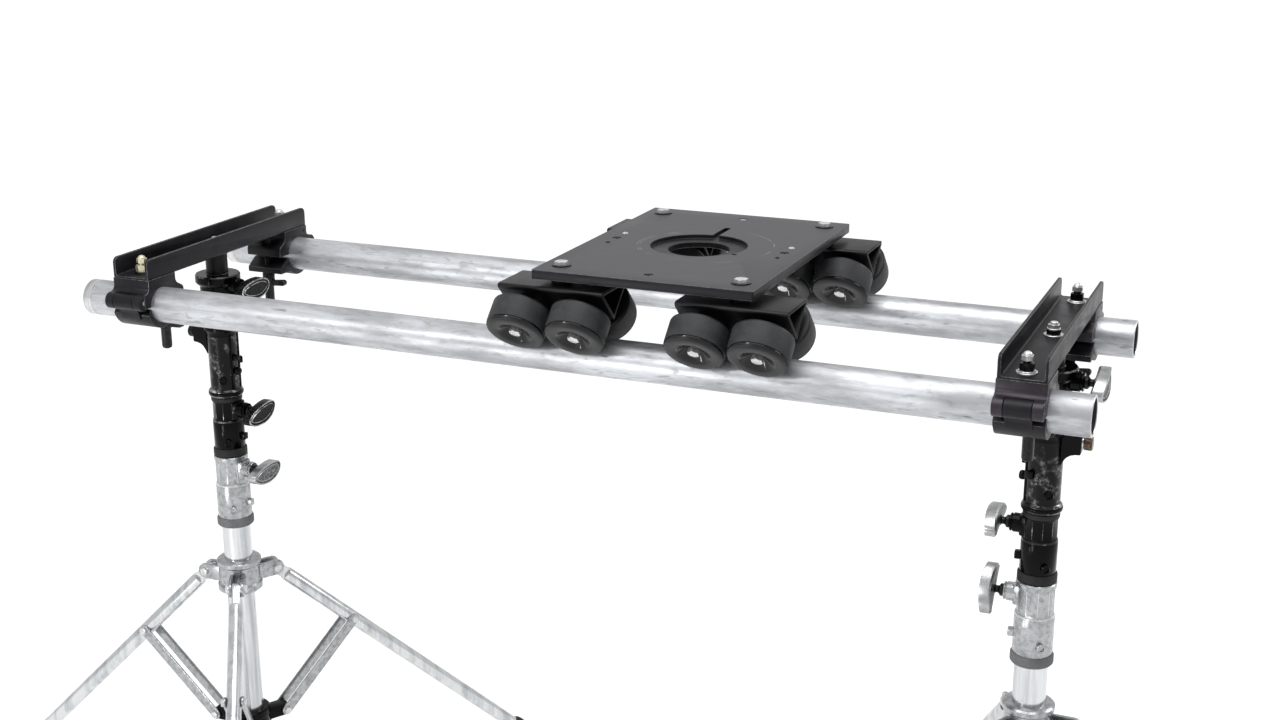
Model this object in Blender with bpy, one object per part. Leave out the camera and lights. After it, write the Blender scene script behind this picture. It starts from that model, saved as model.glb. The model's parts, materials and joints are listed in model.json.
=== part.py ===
"""Portable track dolly: a wheeled camera platform on two tubular rails, held by two folding stands.

Metres, +Z up. X runs along the rails, Y across them, -Y being the front. The origin is on the
floor, midway between the two stands.
"""
import math

import bmesh
import bpy
from mathutils import Matrix, Vector

MM = 0.001

# Clearances
FIT = 0.3 * MM
SWING_ROOM = 1.5 * MM
OVERLAP = 1.5 * MM
MERGE_DISTANCE = 0.002 * MM

# Facets of round pieces, and steps along part of a circle
BOLT_SIDES = 8
PIN_SIDES = 10
KNUCKLE_SIDES = 12
HANDLE_SIDES = 14
TUBE_SIDES = 16
RAIL_SIDES = 24
WHEEL_SIDES = 16
SEAT_HOLE_SIDES = 28
SEAT_SIDES = 40
HEX_SIDES = 6
CORNER_STEPS = 3
BRACE_END_STEPS = 4
EYE_STEPS = 6
JAW_STEPS = 7
BORE_STEPS = 10
SHARP_EDGE = math.radians(35)

# Rails
RAIL_RADIUS = 24.15 * MM
RAIL_WALL = 3.7 * MM
RAIL_LENGTH = 1353 * MM
RAIL_SHIFT = -5 * MM
RAIL_GAUGE = 325 * MM

# Track ends: channels, saddles and hinged clamp jaws
TRACK_END_SPACING = 1191 * MM
CHANNEL_WIDTH = 56 * MM
CHANNEL_OVERHANG = 25.5 * MM
CHANNEL_WALL = 4 * MM
CHANNEL_CORNER = 8 * MM
FLANGE_HEIGHT = 25 * MM
WEB_RISE = 37 * MM
SADDLE_WIDTH = 58 * MM
SADDLE_STEP = 0.5 * MM
SADDLE_WAIST = 8 * MM
SADDLE_INNER = 31 * MM
CLAMP_GAP = 3 * MM
HINGE_GAP = 1.2 * MM
EAR_HEIGHT = 16 * MM
EAR_REACH = 9 * MM
HINGE_OFFSET = 37 * MM
HINGE_RISE = 10 * MM
KNUCKLE_RADIUS = 11 * MM
KNUCKLE_MIDDLE = 15.5 * MM
HINGE_PIN_RADIUS = 3 * MM
JAW_THICKNESS = 7.5 * MM
JAW_LIP = 20 * MM
JAW_EAR_SLOPE = 12 * MM
JAW_SHELL_START = -50
JAW_SHELL_END = -163
JAW_ARM_START = -150
JAW_ARM_ROOT = -170
JAW_ARM_END = -178
JAW_ARM_SINK = 3 * MM
SCREW_OFFSET = 38 * MM
SCREW_RADIUS = 4.5 * MM
SCREW_TIP = 11 * MM
TAIL_RADIUS = 7 * MM
TAIL_LENGTH = 30 * MM
NUT_RADIUS = 9 * MM
WING_REACH = 30 * MM
WING_THICKNESS = 8 * MM
WING_HEIGHT = 9 * MM
STUD_RADIUS = 5 * MM
STUD_HEIGHT = 25 * MM
STUD_NUT_RADIUS = 10 * MM
STUD_NUT_HEIGHT = 9 * MM
STUD_WASHER_RADIUS = 13 * MM
STUD_WASHER_HEIGHT = 3 * MM
CENTRE_WASHER_RADIUS = 12 * MM
CENTRE_WASHER_HEIGHT = 2 * MM
CENTRE_BOLT_RADIUS = 8.5 * MM
CENTRE_BOLT_HEIGHT = 6.5 * MM
POST_RADIUS = 15.5 * MM
POST_HEIGHT = 32.7 * MM
SPIGOT_RADIUS = 14 * MM
SPIGOT_LENGTH = 70 * MM

# Platform
PLATFORM_LENGTH = 281 * MM
PLATFORM_WIDTH = 388 * MM
PLATFORM_THICKNESS = 12 * MM
PLATFORM_EDGE = 1 * MM
PLATFORM_START = 147 * MM
SEAT_RADIUS = 61.5 * MM
SEAT_DEPTH = 5 * MM
SEAT_HOLE_RADIUS = 39 * MM
KEYWAY_WIDTH = 8.5 * MM
KEYWAY_END = 108 * MM
KEYWAY_DEPTH = 4.5 * MM
SMALL_HOLE_RADIUS = 3 * MM
COUNTERSINK_RADIUS = 6 * MM
HOLE_EDGE_FRONT = 28 * MM
HOLE_EDGE_SIDE = 27 * MM
HOLE_SIDE_STEP = 28 * MM
TRUCK_SPACING = 230 * MM

# Wheel trucks
TRUCK_LENGTH = 138 * MM
TRUCK_HALF_WIDTH = 35 * MM
TRUCK_LIP = 6 * MM
TRUCK_WALL = 4.5 * MM
TRUCK_APEX_RISE = 49 * MM
KINGPIN_RADIUS = 6 * MM
KINGPIN_SPACER_RADIUS = 13 * MM
KINGPIN_SPACER = 7.5 * MM
KINGPIN_WASHER_RADIUS = 12 * MM
KINGPIN_WASHER_HEIGHT = 1.2 * MM
KINGPIN_HEAD_RADIUS = 8.5 * MM
KINGPIN_HEAD_HEIGHT = 4 * MM

# Wheels
WHEEL_RADIUS = 37 * MM
WHEEL_WIDTH = 37 * MM
WHEEL_LIP = 3 * MM
WHEEL_PITCH = 77.4 * MM
WHEEL_INSET = 4 * MM
HUB_DEPTH = 3.5 * MM
HUB_RADIUS = 13 * MM
DISH_RADIUS = 21 * MM
DISH_FLOOR_RADIUS = 10 * MM
DISH_DEPTH = 10.5 * MM
AXLE_RADIUS = 4.2 * MM
AXLE_BOSS_RADIUS = 9 * MM
AXLE_HEAD_RADIUS = 7 * MM
AXLE_HEAD_HEIGHT = 7.5 * MM

# Stand columns and risers
COLUMN_RADIUS = 21 * MM
COLUMN_WALL = 2 * MM
COLUMN_FOOT = 40 * MM
COLLAR_RADIUS = 25 * MM
COLLAR_HEIGHT = 110 * MM
COLLAR_RING = 2 * MM
COLLAR_RING_HEIGHT = 14 * MM
COLLAR_ABOVE_CROWN = 85 * MM
RISER_WALL = 2.4 * MM
RISER_HEAD_RADIUS = 22.5 * MM
RISER_HEAD_HEIGHT = 91.7 * MM
RISER_TUBE_LENGTH = 540 * MM
RECEIVER_TUBE_LENGTH = 600 * MM
RECEIVER_NECK_RADIUS = 21.5 * MM
RECEIVER_NECK_HEIGHT = 92 * MM
RECEIVER_HEAD_RADIUS = 26 * MM
RECEIVER_HEAD_HEIGHT = 80 * MM
RECEIVER_RIM_RADIUS = 32 * MM
RECEIVER_RIM_HEIGHT = 12 * MM
RECEIVER_CHAMFER = 5 * MM
LUG_REACH = 43 * MM
LUG_WIDTH = 22 * MM
LUG_HEIGHT = 76 * MM
LUG_DROP = 18 * MM
LUG_BOLT_RADIUS = 7 * MM
LUG_BOLT_LENGTH = 11 * MM

# Clamp handles
BOSS_RADIUS = 12 * MM
BOSS_REACH = 14 * MM
HANDLE_SCREW_RADIUS = 5 * MM
HANDLE_STANDOFF = 26 * MM
HANDLE_HUB_RADIUS = 8 * MM
HANDLE_HALF_LENGTH = 30 * MM
HANDLE_HALF_WIDTH = 14 * MM
HANDLE_THICKNESS = 12 * MM
HANDLE_DROP = 21 * MM
UPPER_HANDLE_EXTRA = 8 * MM
HANDLE_TILTS = {"left": (4, 10, 0), "right": (-53, -12, 24)}

# Folding legs
LEG_COUNT = 3
LEG_SPREAD = math.radians(46)
LEG_LENGTH = 620 * MM
LEG_RADIUS = 11 * MM
LEG_PIN_OFFSET = 56 * MM
LEG_PIN_RADIUS = 4 * MM
LEG_TONGUE = 12 * MM
LEG_EYE_RADIUS = 9 * MM
LEG_NECK = 17 * MM
FOOT_RADIUS = 15 * MM
FOOT_LENGTH = 45 * MM
CROWN_RADIUS = 33 * MM
CROWN_HEIGHT = 52 * MM
CHEEK_THICKNESS = 5 * MM
CHEEK_RADIUS = 12 * MM
BRACE_LENGTH = 174 * MM
BRACE_WIDTH = 16 * MM
BRACE_THICKNESS = 3 * MM
BRACE_BOLT_RADIUS = 6 * MM
BRACE_BOLT_HEIGHT = 4 * MM
BRACE_COLLAR_RADIUS = 31 * MM
BRACE_COLLAR_HEIGHT = 40 * MM

# Worked-out levels above the floor
CROWN_PIN_LEVEL = LEG_LENGTH * math.cos(LEG_SPREAD) + FOOT_RADIUS
BRACE_PIN_LEVEL = CROWN_PIN_LEVEL - 2 * BRACE_LENGTH * math.cos(LEG_SPREAD)
COLUMN_COLLAR_LEVEL = CROWN_PIN_LEVEL + COLLAR_ABOVE_CROWN
COLUMN_TOP = COLUMN_COLLAR_LEVEL + COLLAR_HEIGHT
RISER_SEAT = COLUMN_TOP + FIT
RISER_TOP = RISER_SEAT + RISER_HEAD_HEIGHT
RECEIVER_SEAT = RISER_TOP + FIT
RECEIVER_RIM_LEVEL = RECEIVER_SEAT + RECEIVER_NECK_HEIGHT + RECEIVER_HEAD_HEIGHT
RECEIVER_TOP = RECEIVER_RIM_LEVEL + RECEIVER_RIM_HEIGHT
RAIL_LEVEL = RECEIVER_TOP + FIT + POST_HEIGHT - WEB_RISE

# Worked-out cross sizes
RISER_RADIUS = COLUMN_RADIUS - COLUMN_WALL - FIT
RECEIVER_RADIUS = RISER_RADIUS - RISER_WALL - FIT
SPIGOT_BORE = SPIGOT_RADIUS + FIT
CLAMP_BORE = (RAIL_RADIUS + FIT) / math.cos(math.pi / 2 / BORE_STEPS)
WHEEL_REACH = (RAIL_RADIUS + WHEEL_RADIUS + FIT) * math.sqrt(0.5)
TRUCK_TOP_RISE = TRUCK_APEX_RISE + TRUCK_HALF_WIDTH + TRUCK_LIP
PLATFORM_BASE_RISE = TRUCK_TOP_RISE + KINGPIN_SPACER + FIT
PLATFORM_TOP_RISE = PLATFORM_BASE_RISE + PLATFORM_THICKNESS
STAND_X = TRACK_END_SPACING / 2
CHANNEL_LENGTH = RAIL_GAUGE + 2 * CHANNEL_OVERHANG
SADDLE_OUTER = CHANNEL_OVERHANG + SADDLE_STEP


def clear_scene():
    """Remove every object the file starts with."""
    for item in list(bpy.data.objects):
        bpy.data.objects.remove(item, do_unlink=True)


def paint(name, color, roughness, metallic):
    """A plain Principled material."""
    material = bpy.data.materials.new(name)
    material.use_nodes = True
    shader = material.node_tree.nodes["Principled BSDF"]
    shader.inputs["Base Color"].default_value = (*color, 1)
    shader.inputs["Roughness"].default_value = roughness
    shader.inputs["Metallic"].default_value = metallic
    return material


def body(mesh_data):
    """Turn a bmesh into a linked object with its faces pointing out."""
    bmesh.ops.recalc_face_normals(mesh_data, faces=mesh_data.faces)
    mesh = bpy.data.meshes.new("shape")
    mesh_data.to_mesh(mesh)
    mesh_data.free()
    item = bpy.data.objects.new("shape", mesh)
    bpy.context.collection.objects.link(item)
    return item


def spread(first, second, depth, axis):
    """A point whose outline coordinates lie across the given axis."""
    if axis == "X":
        return (depth, first, second)
    if axis == "Y":
        return (first, depth, second)
    return (first, second, depth)


def extruded(outline, axis, low, high):
    """A prism of a flat outline: (y, z) along X, (x, z) along Y or (x, y) along Z."""
    shape = bmesh.new()
    corners = [shape.verts.new(spread(first, second, low, axis)) for first, second in outline]
    face = shape.faces.new(corners)
    grown = bmesh.ops.extrude_face_region(shape, geom=[face])
    moved = [part for part in grown["geom"] if isinstance(part, bmesh.types.BMVert)]
    bmesh.ops.translate(shape, vec=Vector(spread(0, 0, high - low, axis)), verts=moved)
    return body(shape)


def turned(profile, sides, ring=False):
    """Spin a profile of (radius, height) points about Z; a ring profile closes on itself."""
    shape = bmesh.new()
    corners = [shape.verts.new((radius, 0, height)) for radius, height in profile]
    lines = [shape.edges.new(pair) for pair in zip(corners, corners[1:])]
    if ring:
        lines.append(shape.edges.new((corners[-1], corners[0])))
    bmesh.ops.spin(shape, geom=corners + lines, cent=(0, 0, 0), axis=(0, 0, 1),
                   angle=math.tau, steps=sides, use_merge=True)
    bmesh.ops.remove_doubles(shape, verts=shape.verts, dist=1e-7)
    return body(shape)


def rod(radius, low, high, sides=PIN_SIDES):
    """A plain round bar along Z."""
    return turned([(0, low), (radius, low), (radius, high), (0, high)], sides)


def block(low, high):
    """A box between two corners."""
    outline = [(low[0], low[1]), (high[0], low[1]), (high[0], high[1]), (low[0], high[1])]
    return extruded(outline, "Z", low[2], high[2])


def move(item, matrix):
    """Place a shape by changing its mesh."""
    item.data.transform(matrix)
    return item


def along(direction, centre=(0, 0, 0)):
    """The matrix that lays a shape's Z axis along a direction, from a centre."""
    turn = Vector(direction).to_track_quat("Z", "Y").to_matrix().to_4x4()
    return Matrix.Translation(centre) @ turn


def weld(mesh):
    """Merge the twin points a boolean can leave on a seam."""
    shape = bmesh.new()
    shape.from_mesh(mesh)
    bmesh.ops.remove_doubles(shape, verts=shape.verts, dist=MERGE_DISTANCE)
    bmesh.ops.dissolve_degenerate(shape, edges=shape.edges, dist=MERGE_DISTANCE)
    shape.to_mesh(mesh)
    shape.free()


def combine(base, other, operation):
    """Apply one exact boolean and drop the second shape."""
    modifier = base.modifiers.new(operation, "BOOLEAN")
    modifier.operation = operation
    modifier.solver = "EXACT"
    modifier.object = other
    graph = bpy.context.evaluated_depsgraph_get()
    mesh = bpy.data.meshes.new_from_object(base.evaluated_get(graph))
    base.modifiers.clear()
    weld(mesh)
    base.data = mesh
    bpy.data.objects.remove(other, do_unlink=True)
    return base


def fuse(base, *others):
    """Join shapes that overlap."""
    for other in others:
        combine(base, other, "UNION")
    return base


def cut(base, *cutters):
    """Take shapes away from a base."""
    for cutter in cutters:
        combine(base, cutter, "DIFFERENCE")
    return base


def hole_radius(radius, sides=PIN_SIDES):
    """The corner radius of a faceted hole that clears a round pin all the way round."""
    return (radius + FIT) / math.cos(math.pi / sides)


def arc(radius, start, end, steps, centre=(0, 0)):
    """Points on an arc, in degrees, both ends included."""
    angles = [math.radians(start + (end - start) * step / steps) for step in range(steps + 1)]
    return [(centre[0] + radius * math.cos(a), centre[1] + radius * math.sin(a)) for a in angles]


def place(mesh, name, material, location, rotation=None):
    """A named node whose origin is on its joint's axis."""
    item = bpy.data.objects.new(name, mesh)
    bpy.context.collection.objects.link(item)
    turn = rotation if rotation is not None else Matrix.Identity(4)
    item.matrix_world = Matrix.Translation(location) @ turn
    if not mesh.materials:
        mesh.materials.append(material)
        mesh.shade_smooth()
        mesh.set_sharp_from_angle(angle=SHARP_EDGE)
    return item


def take_mesh(item):
    """Keep a finished shape's mesh and drop its working object."""
    mesh = item.data
    mesh.materials.clear()
    bpy.data.objects.remove(item, do_unlink=True)
    return mesh


def quarter_turns(count):
    """A turn about Z by a number of quarters."""
    return Matrix.Rotation(math.radians(90 * count), 4, "Z")


def make_rail():
    """A round tube along X, open at both ends."""
    half = RAIL_LENGTH / 2
    inner = RAIL_RADIUS - RAIL_WALL
    tube = turned([(inner, -half), (RAIL_RADIUS, -half), (RAIL_RADIUS, half), (inner, half)],
                  RAIL_SIDES, ring=True)
    return take_mesh(move(tube, along((1, 0, 0))))


def make_platform():
    """The flat plate with its stepped camera seat, keyway and bolt holes."""
    half_x = PLATFORM_LENGTH / 2
    half_y = PLATFORM_WIDTH / 2
    top = PLATFORM_THICKNESS
    plate = block((-half_x, -half_y, 0), (half_x, half_y, top))
    edges = bmesh.new()
    edges.from_mesh(plate.data)
    bmesh.ops.bevel(edges, geom=edges.edges[:], offset=PLATFORM_EDGE, segments=1, profile=0.5,
                    affect="EDGES", material=-1)
    edges.to_mesh(plate.data)
    edges.free()
    above = top + OVERLAP
    cut(plate, rod(SEAT_RADIUS, top - SEAT_DEPTH, above, SEAT_SIDES))
    cut(plate, rod(SEAT_HOLE_RADIUS, -OVERLAP, above, SEAT_HOLE_SIDES))
    half_key = KEYWAY_WIDTH / 2
    cut(plate, block((-half_key, SEAT_RADIUS - OVERLAP, top - KEYWAY_DEPTH),
                     (half_key, KEYWAY_END, above)))
    for x, y in truck_spots():
        cut(plate, move(rod(hole_radius(KINGPIN_RADIUS), -OVERLAP, above),
                        Matrix.Translation((x, y, 0))))
    side = half_x - HOLE_EDGE_SIDE
    end = half_y - HOLE_EDGE_FRONT
    plain = [(x, row * HOLE_SIDE_STEP) for x in (-side, side) for row in (-1, 1)]
    plain.append((SEAT_RADIUS - SMALL_HOLE_RADIUS, -SEAT_RADIUS / 2))
    sunk = [(0, -end), (0, end), (-side, 0), (side, 0)]
    slope = COUNTERSINK_RADIUS - SMALL_HOLE_RADIUS
    for x, y in plain + sunk:
        spot = Matrix.Translation((x, y, 0))
        cut(plate, move(rod(SMALL_HOLE_RADIUS, -OVERLAP, above, BOLT_SIDES), spot))
        if (x, y) in sunk:
            cone = turned([(0, top - slope), (SMALL_HOLE_RADIUS, top - slope),
                           (COUNTERSINK_RADIUS + OVERLAP, above), (0, above)], PIN_SIDES)
            cut(plate, move(cone, spot))
    return take_mesh(plate)


def truck_spots():
    """The four kingpin places, measured from the platform's centre."""
    return [(side * TRUCK_SPACING / 2, row * RAIL_GAUGE / 2) for row in (-1, 1) for side in (-1, 1)]


def axle_frame(side, row):
    """Where a wheel sits in its truck: its centre, and the axle's outward direction."""
    slope = math.sqrt(0.5)
    inset = WHEEL_INSET * slope
    centre = Vector((side * WHEEL_PITCH / 2, row * (WHEEL_REACH - inset), WHEEL_REACH + inset))
    return centre, Vector((0, row * slope, -slope))


def make_truck():
    """A V-shaped box of bent plate with its kingpin and four axles; Z = 0 is the rail's axis."""
    half = TRUCK_LENGTH / 2
    shoulder = TRUCK_APEX_RISE + TRUCK_HALF_WIDTH
    outer = [(0, TRUCK_APEX_RISE), (TRUCK_HALF_WIDTH, shoulder), (TRUCK_HALF_WIDTH, TRUCK_TOP_RISE),
             (-TRUCK_HALF_WIDTH, TRUCK_TOP_RISE), (-TRUCK_HALF_WIDTH, shoulder)]
    slant = TRUCK_WALL * math.sqrt(2)
    valley = TRUCK_APEX_RISE + slant
    ceiling = TRUCK_TOP_RISE - TRUCK_WALL
    inside = TRUCK_HALF_WIDTH - TRUCK_WALL
    corner = min(ceiling - valley, inside)
    inner = [(0, valley), (corner, valley + corner), (-corner, valley + corner)]
    if ceiling - valley > inside:
        inner[2:2] = [(corner, ceiling), (-corner, ceiling)]
    truck = extruded(outer, "X", -half, half)
    cut(truck, extruded(inner, "X", -half - OVERLAP, half + OVERLAP))
    inner_face = -WHEEL_WIDTH / 2
    root = WHEEL_INSET - TRUCK_APEX_RISE * math.sqrt(0.5) - OVERLAP
    seat = inner_face + HUB_DEPTH - FIT
    hub_floor = WHEEL_WIDTH / 2 - DISH_DEPTH + FIT
    for side in (-1, 1):
        for row in (-1, 1):
            centre, direction = axle_frame(side, row)
            axle = turned([(0, root), (AXLE_BOSS_RADIUS, root), (AXLE_BOSS_RADIUS, seat),
                           (AXLE_RADIUS, seat), (AXLE_RADIUS, hub_floor),
                           (AXLE_HEAD_RADIUS, hub_floor),
                           (AXLE_HEAD_RADIUS, hub_floor + AXLE_HEAD_HEIGHT),
                           (0, hub_floor + AXLE_HEAD_HEIGHT)], BOLT_SIDES)
            fuse(truck, move(axle, along(direction, centre)))
    washer = PLATFORM_TOP_RISE + FIT
    head = washer + KINGPIN_WASHER_HEIGHT
    top = head + KINGPIN_HEAD_HEIGHT
    low = TRUCK_TOP_RISE - TRUCK_WALL / 2
    spacer = TRUCK_TOP_RISE + KINGPIN_SPACER
    pin = turned([(0, low), (KINGPIN_SPACER_RADIUS, low), (KINGPIN_SPACER_RADIUS, spacer),
                  (KINGPIN_RADIUS, spacer), (KINGPIN_RADIUS, washer),
                  (KINGPIN_WASHER_RADIUS, washer), (KINGPIN_WASHER_RADIUS, head),
                  (KINGPIN_HEAD_RADIUS, head), (KINGPIN_HEAD_RADIUS, top), (0, top)], PIN_SIDES)
    return take_mesh(fuse(truck, pin))


def make_wheel():
    """A urethane wheel about Z, outer face up, with its dished hub and axle bore."""
    half = WHEEL_WIDTH / 2
    bore = hole_radius(AXLE_RADIUS, WHEEL_SIDES)
    rim = WHEEL_RADIUS - WHEEL_LIP
    profile = [(bore, -half + HUB_DEPTH), (HUB_RADIUS, -half + HUB_DEPTH), (HUB_RADIUS, -half),
               (rim, -half), (WHEEL_RADIUS, -half + WHEEL_LIP), (WHEEL_RADIUS, half - WHEEL_LIP),
               (rim, half), (DISH_RADIUS, half), (DISH_FLOOR_RADIUS, half - DISH_DEPTH),
               (bore, half - DISH_DEPTH)]
    return take_mesh(turned(profile, WHEEL_SIDES, ring=True))


def make_channel():
    """The U channel of a track end, flanges up."""
    half = CHANNEL_WIDTH / 2
    inside = half - CHANNEL_WALL
    floor = WEB_RISE + CHANNEL_WALL
    top = floor + FLANGE_HEIGHT
    outline = [(-half, WEB_RISE), (half, WEB_RISE), (half, top), (inside, top), (inside, floor),
               (-inside, floor), (-inside, top), (-half, top)]
    end = CHANNEL_LENGTH / 2
    channel = extruded(outline, "Y", -end - OVERLAP, end + OVERLAP)
    corner = end - CHANNEL_CORNER
    side = [(end, WEB_RISE - OVERLAP)]
    side += arc(CHANNEL_CORNER, 0, 90, CORNER_STEPS, (corner, top - CHANNEL_CORNER))
    side += arc(CHANNEL_CORNER, 90, 180, CORNER_STEPS, (-corner, top - CHANNEL_CORNER))
    side.append((-end, WEB_RISE - OVERLAP))
    return combine(channel, extruded(side, "X", -half - OVERLAP, half + OVERLAP), "INTERSECT")


def bore_limit(gap):
    """The angle in degrees at which a clamp half's bore ends, a gap away from the rail's middle."""
    return math.degrees(math.asin(gap / CLAMP_BORE))


def make_saddle():
    """The upper clamp half over a rail, hinge side at -Y; the rail's axis is the X axis."""
    half = SADDLE_WIDTH / 2
    tip = SCREW_OFFSET + EAR_REACH
    roof = WEB_RISE + OVERLAP
    shelf = HINGE_RISE + KNUCKLE_RADIUS
    waist = (-SADDLE_OUTER - SADDLE_WAIST, shelf + SADDLE_WAIST)
    outline = [(-SADDLE_OUTER, roof)] + arc(SADDLE_WAIST, 0, -90, CORNER_STEPS, waist)
    outline += [(-HINGE_OFFSET, shelf), (-HINGE_OFFSET, HINGE_GAP)]
    outline += arc(CLAMP_BORE, 180 - bore_limit(HINGE_GAP), bore_limit(CLAMP_GAP), BORE_STEPS)
    outline += [(tip, CLAMP_GAP), (tip, EAR_HEIGHT), (SADDLE_INNER, EAR_HEIGHT + EAR_REACH),
                (SADDLE_INNER, roof)]
    saddle = extruded(outline, "X", -half, half)
    pin_spot = (0, -HINGE_OFFSET, HINGE_RISE)
    room = KNUCKLE_MIDDLE + FIT
    reach = half - 2 * FIT
    fuse(saddle, move(rod(KNUCKLE_RADIUS, -reach, reach, KNUCKLE_SIDES),
                     along((1, 0, 0), pin_spot)))
    cut(saddle, move(rod(KNUCKLE_RADIUS + 2 * FIT, -room, room, KNUCKLE_SIDES),
                     along((1, 0, 0), pin_spot)))
    reach -= OVERLAP
    fuse(saddle, move(rod(HINGE_PIN_RADIUS, -reach, reach, BOLT_SIDES),
                     along((1, 0, 0), pin_spot)))
    clear = move(rod(SCREW_RADIUS + SWING_ROOM, 0, EAR_HEIGHT + 2 * EAR_REACH),
                 Matrix.Translation((0, SCREW_OFFSET, 0)))
    return cut(saddle, clear)


def make_stud(washer_radius, washer_height, nut_radius, nut_height, stud_height):
    """A washer, a hex nut and a bolt end standing on the channel's web."""
    base = WEB_RISE + CHANNEL_WALL - OVERLAP
    washer_top = WEB_RISE + CHANNEL_WALL + washer_height
    nut_top = washer_top + nut_height
    stack = rod(washer_radius, base, washer_top)
    fuse(stack, rod(nut_radius, base, nut_top, HEX_SIDES))
    if stud_height > 0:
        fuse(stack, rod(STUD_RADIUS, base, WEB_RISE + CHANNEL_WALL + stud_height, BOLT_SIDES))
    return stack


def make_track_end():
    """Channel, two saddles, bolts, and the post and spigot that stand in a receiver."""
    frame = make_channel()
    for row in (-1, 1):
        turn = quarter_turns(0 if row < 0 else 2)
        spot = Matrix.Translation((0, row * RAIL_GAUGE / 2, 0))
        fuse(frame, move(make_saddle(), spot @ turn))
        stud = make_stud(STUD_WASHER_RADIUS, STUD_WASHER_HEIGHT, STUD_NUT_RADIUS,
                         STUD_NUT_HEIGHT, STUD_HEIGHT)
        fuse(frame, move(stud, spot))
    fuse(frame, make_stud(CENTRE_WASHER_RADIUS, CENTRE_WASHER_HEIGHT, CENTRE_BOLT_RADIUS,
                          CENTRE_BOLT_HEIGHT, 0))
    foot = WEB_RISE - POST_HEIGHT
    fuse(frame, rod(POST_RADIUS, foot, WEB_RISE + OVERLAP, TUBE_SIDES))
    fuse(frame, rod(SPIGOT_RADIUS, foot - SPIGOT_LENGTH, foot + OVERLAP, TUBE_SIDES))
    return take_mesh(frame)


def make_jaw():
    """The lower clamp half; its origin is on the hinge pin, with the rail toward +Y."""
    half = SADDLE_WIDTH / 2
    outside = RAIL_RADIUS + FIT + JAW_THICKNESS
    tip = SCREW_OFFSET + EAR_REACH
    lip_floor = -CLAMP_GAP - JAW_LIP
    lip_edge = SCREW_OFFSET - NUT_RADIUS - 2 * FIT
    outline = arc(CLAMP_BORE, 180 + bore_limit(HINGE_GAP), 360 - bore_limit(CLAMP_GAP), BORE_STEPS)
    outline += [(lip_edge, -CLAMP_GAP), (tip, -CLAMP_GAP - JAW_EAR_SLOPE), (tip, lip_floor),
                (lip_edge, lip_floor)]
    outline += arc(outside, JAW_SHELL_START, JAW_SHELL_END, JAW_STEPS)
    jaw = extruded(outline, "X", -half, half)
    to_pin = Matrix.Translation((0, HINGE_OFFSET, -HINGE_RISE))
    move(jaw, to_pin)
    axis = along((1, 0, 0))
    arm = [(-KNUCKLE_RADIUS + FIT, 0)]
    arm += arc(outside, JAW_ARM_ROOT, JAW_ARM_START, CORNER_STEPS,
               (HINGE_OFFSET - JAW_ARM_SINK, -HINGE_RISE))
    arm += arc(outside - 2 * JAW_ARM_SINK, JAW_ARM_START, JAW_ARM_END, CORNER_STEPS,
               (HINGE_OFFSET, -HINGE_RISE))
    fuse(jaw, move(rod(KNUCKLE_RADIUS, -KNUCKLE_MIDDLE, KNUCKLE_MIDDLE, KNUCKLE_SIDES), axis))
    fuse(jaw, extruded(arm, "X", -KNUCKLE_MIDDLE + FIT, KNUCKLE_MIDDLE - FIT))
    cut(jaw, move(rod(hole_radius(HINGE_PIN_RADIUS, BOLT_SIDES), -half, half, BOLT_SIDES), axis))
    slot = rod(hole_radius(SCREW_RADIUS), lip_floor - 2 * CLAMP_GAP, CLAMP_GAP)
    move(slot, Matrix.Translation((0, SCREW_OFFSET + HINGE_OFFSET, -HINGE_RISE)))
    return take_mesh(cut(jaw, slot))


def make_clamp_screw():
    """The wing nut on its screw, about Z; Z = 0 is the rail's axis."""
    seat = -CLAMP_GAP - JAW_LIP - FIT
    wing_top = -(RAIL_RADIUS + FIT + JAW_THICKNESS) - SWING_ROOM
    rise = WING_HEIGHT / 4
    low = wing_top - WING_HEIGHT - rise
    screw = turned([(0, low - TAIL_LENGTH), (TAIL_RADIUS, low - TAIL_LENGTH), (TAIL_RADIUS, low),
                    (NUT_RADIUS, low), (NUT_RADIUS, seat), (SCREW_RADIUS, seat),
                    (SCREW_RADIUS, CLAMP_GAP + SCREW_TIP), (0, CLAMP_GAP + SCREW_TIP)], PIN_SIDES)
    half = WING_THICKNESS / 2
    outline = [(-WING_REACH, wing_top), (-NUT_RADIUS, wing_top - rise), (NUT_RADIUS, wing_top - rise),
               (WING_REACH, wing_top), (WING_REACH, wing_top - WING_HEIGHT), (NUT_RADIUS, low + rise),
               (-NUT_RADIUS, low + rise), (-WING_REACH, wing_top - WING_HEIGHT)]
    return take_mesh(fuse(screw, extruded(outline, "Y", -half, half)))


def make_boss(radius_from, radius_to, level):
    """A round boss that stands out along +X at a level."""
    return move(rod(BOSS_RADIUS, radius_from, radius_to), along((1, 0, 0), (0, 0, level)))


def make_screw_hole(radius_from, radius_to, level):
    """The drilling through a boss for its clamp screw."""
    return move(rod(hole_radius(HANDLE_SCREW_RADIUS), radius_from, radius_to),
                along((1, 0, 0), (0, 0, level)))


def turned_about_axis(item, angle):
    """Turn a shape about the stand's axis."""
    return move(item, Matrix.Rotation(angle, 4, "Z"))


def cheek(offset):
    """One clevis plate of the crown, flat across Y, beside a leg's eye."""
    round_end = arc(CHEEK_RADIUS, -90, 90, EYE_STEPS, (LEG_PIN_OFFSET, CROWN_PIN_LEVEL))
    root = CROWN_RADIUS - CHEEK_THICKNESS
    outline = [(root, CROWN_PIN_LEVEL - CHEEK_RADIUS)] + round_end
    outline.append((root, CROWN_PIN_LEVEL + CHEEK_RADIUS))
    return extruded(outline, "Y", offset, offset + CHEEK_THICKNESS)


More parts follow.
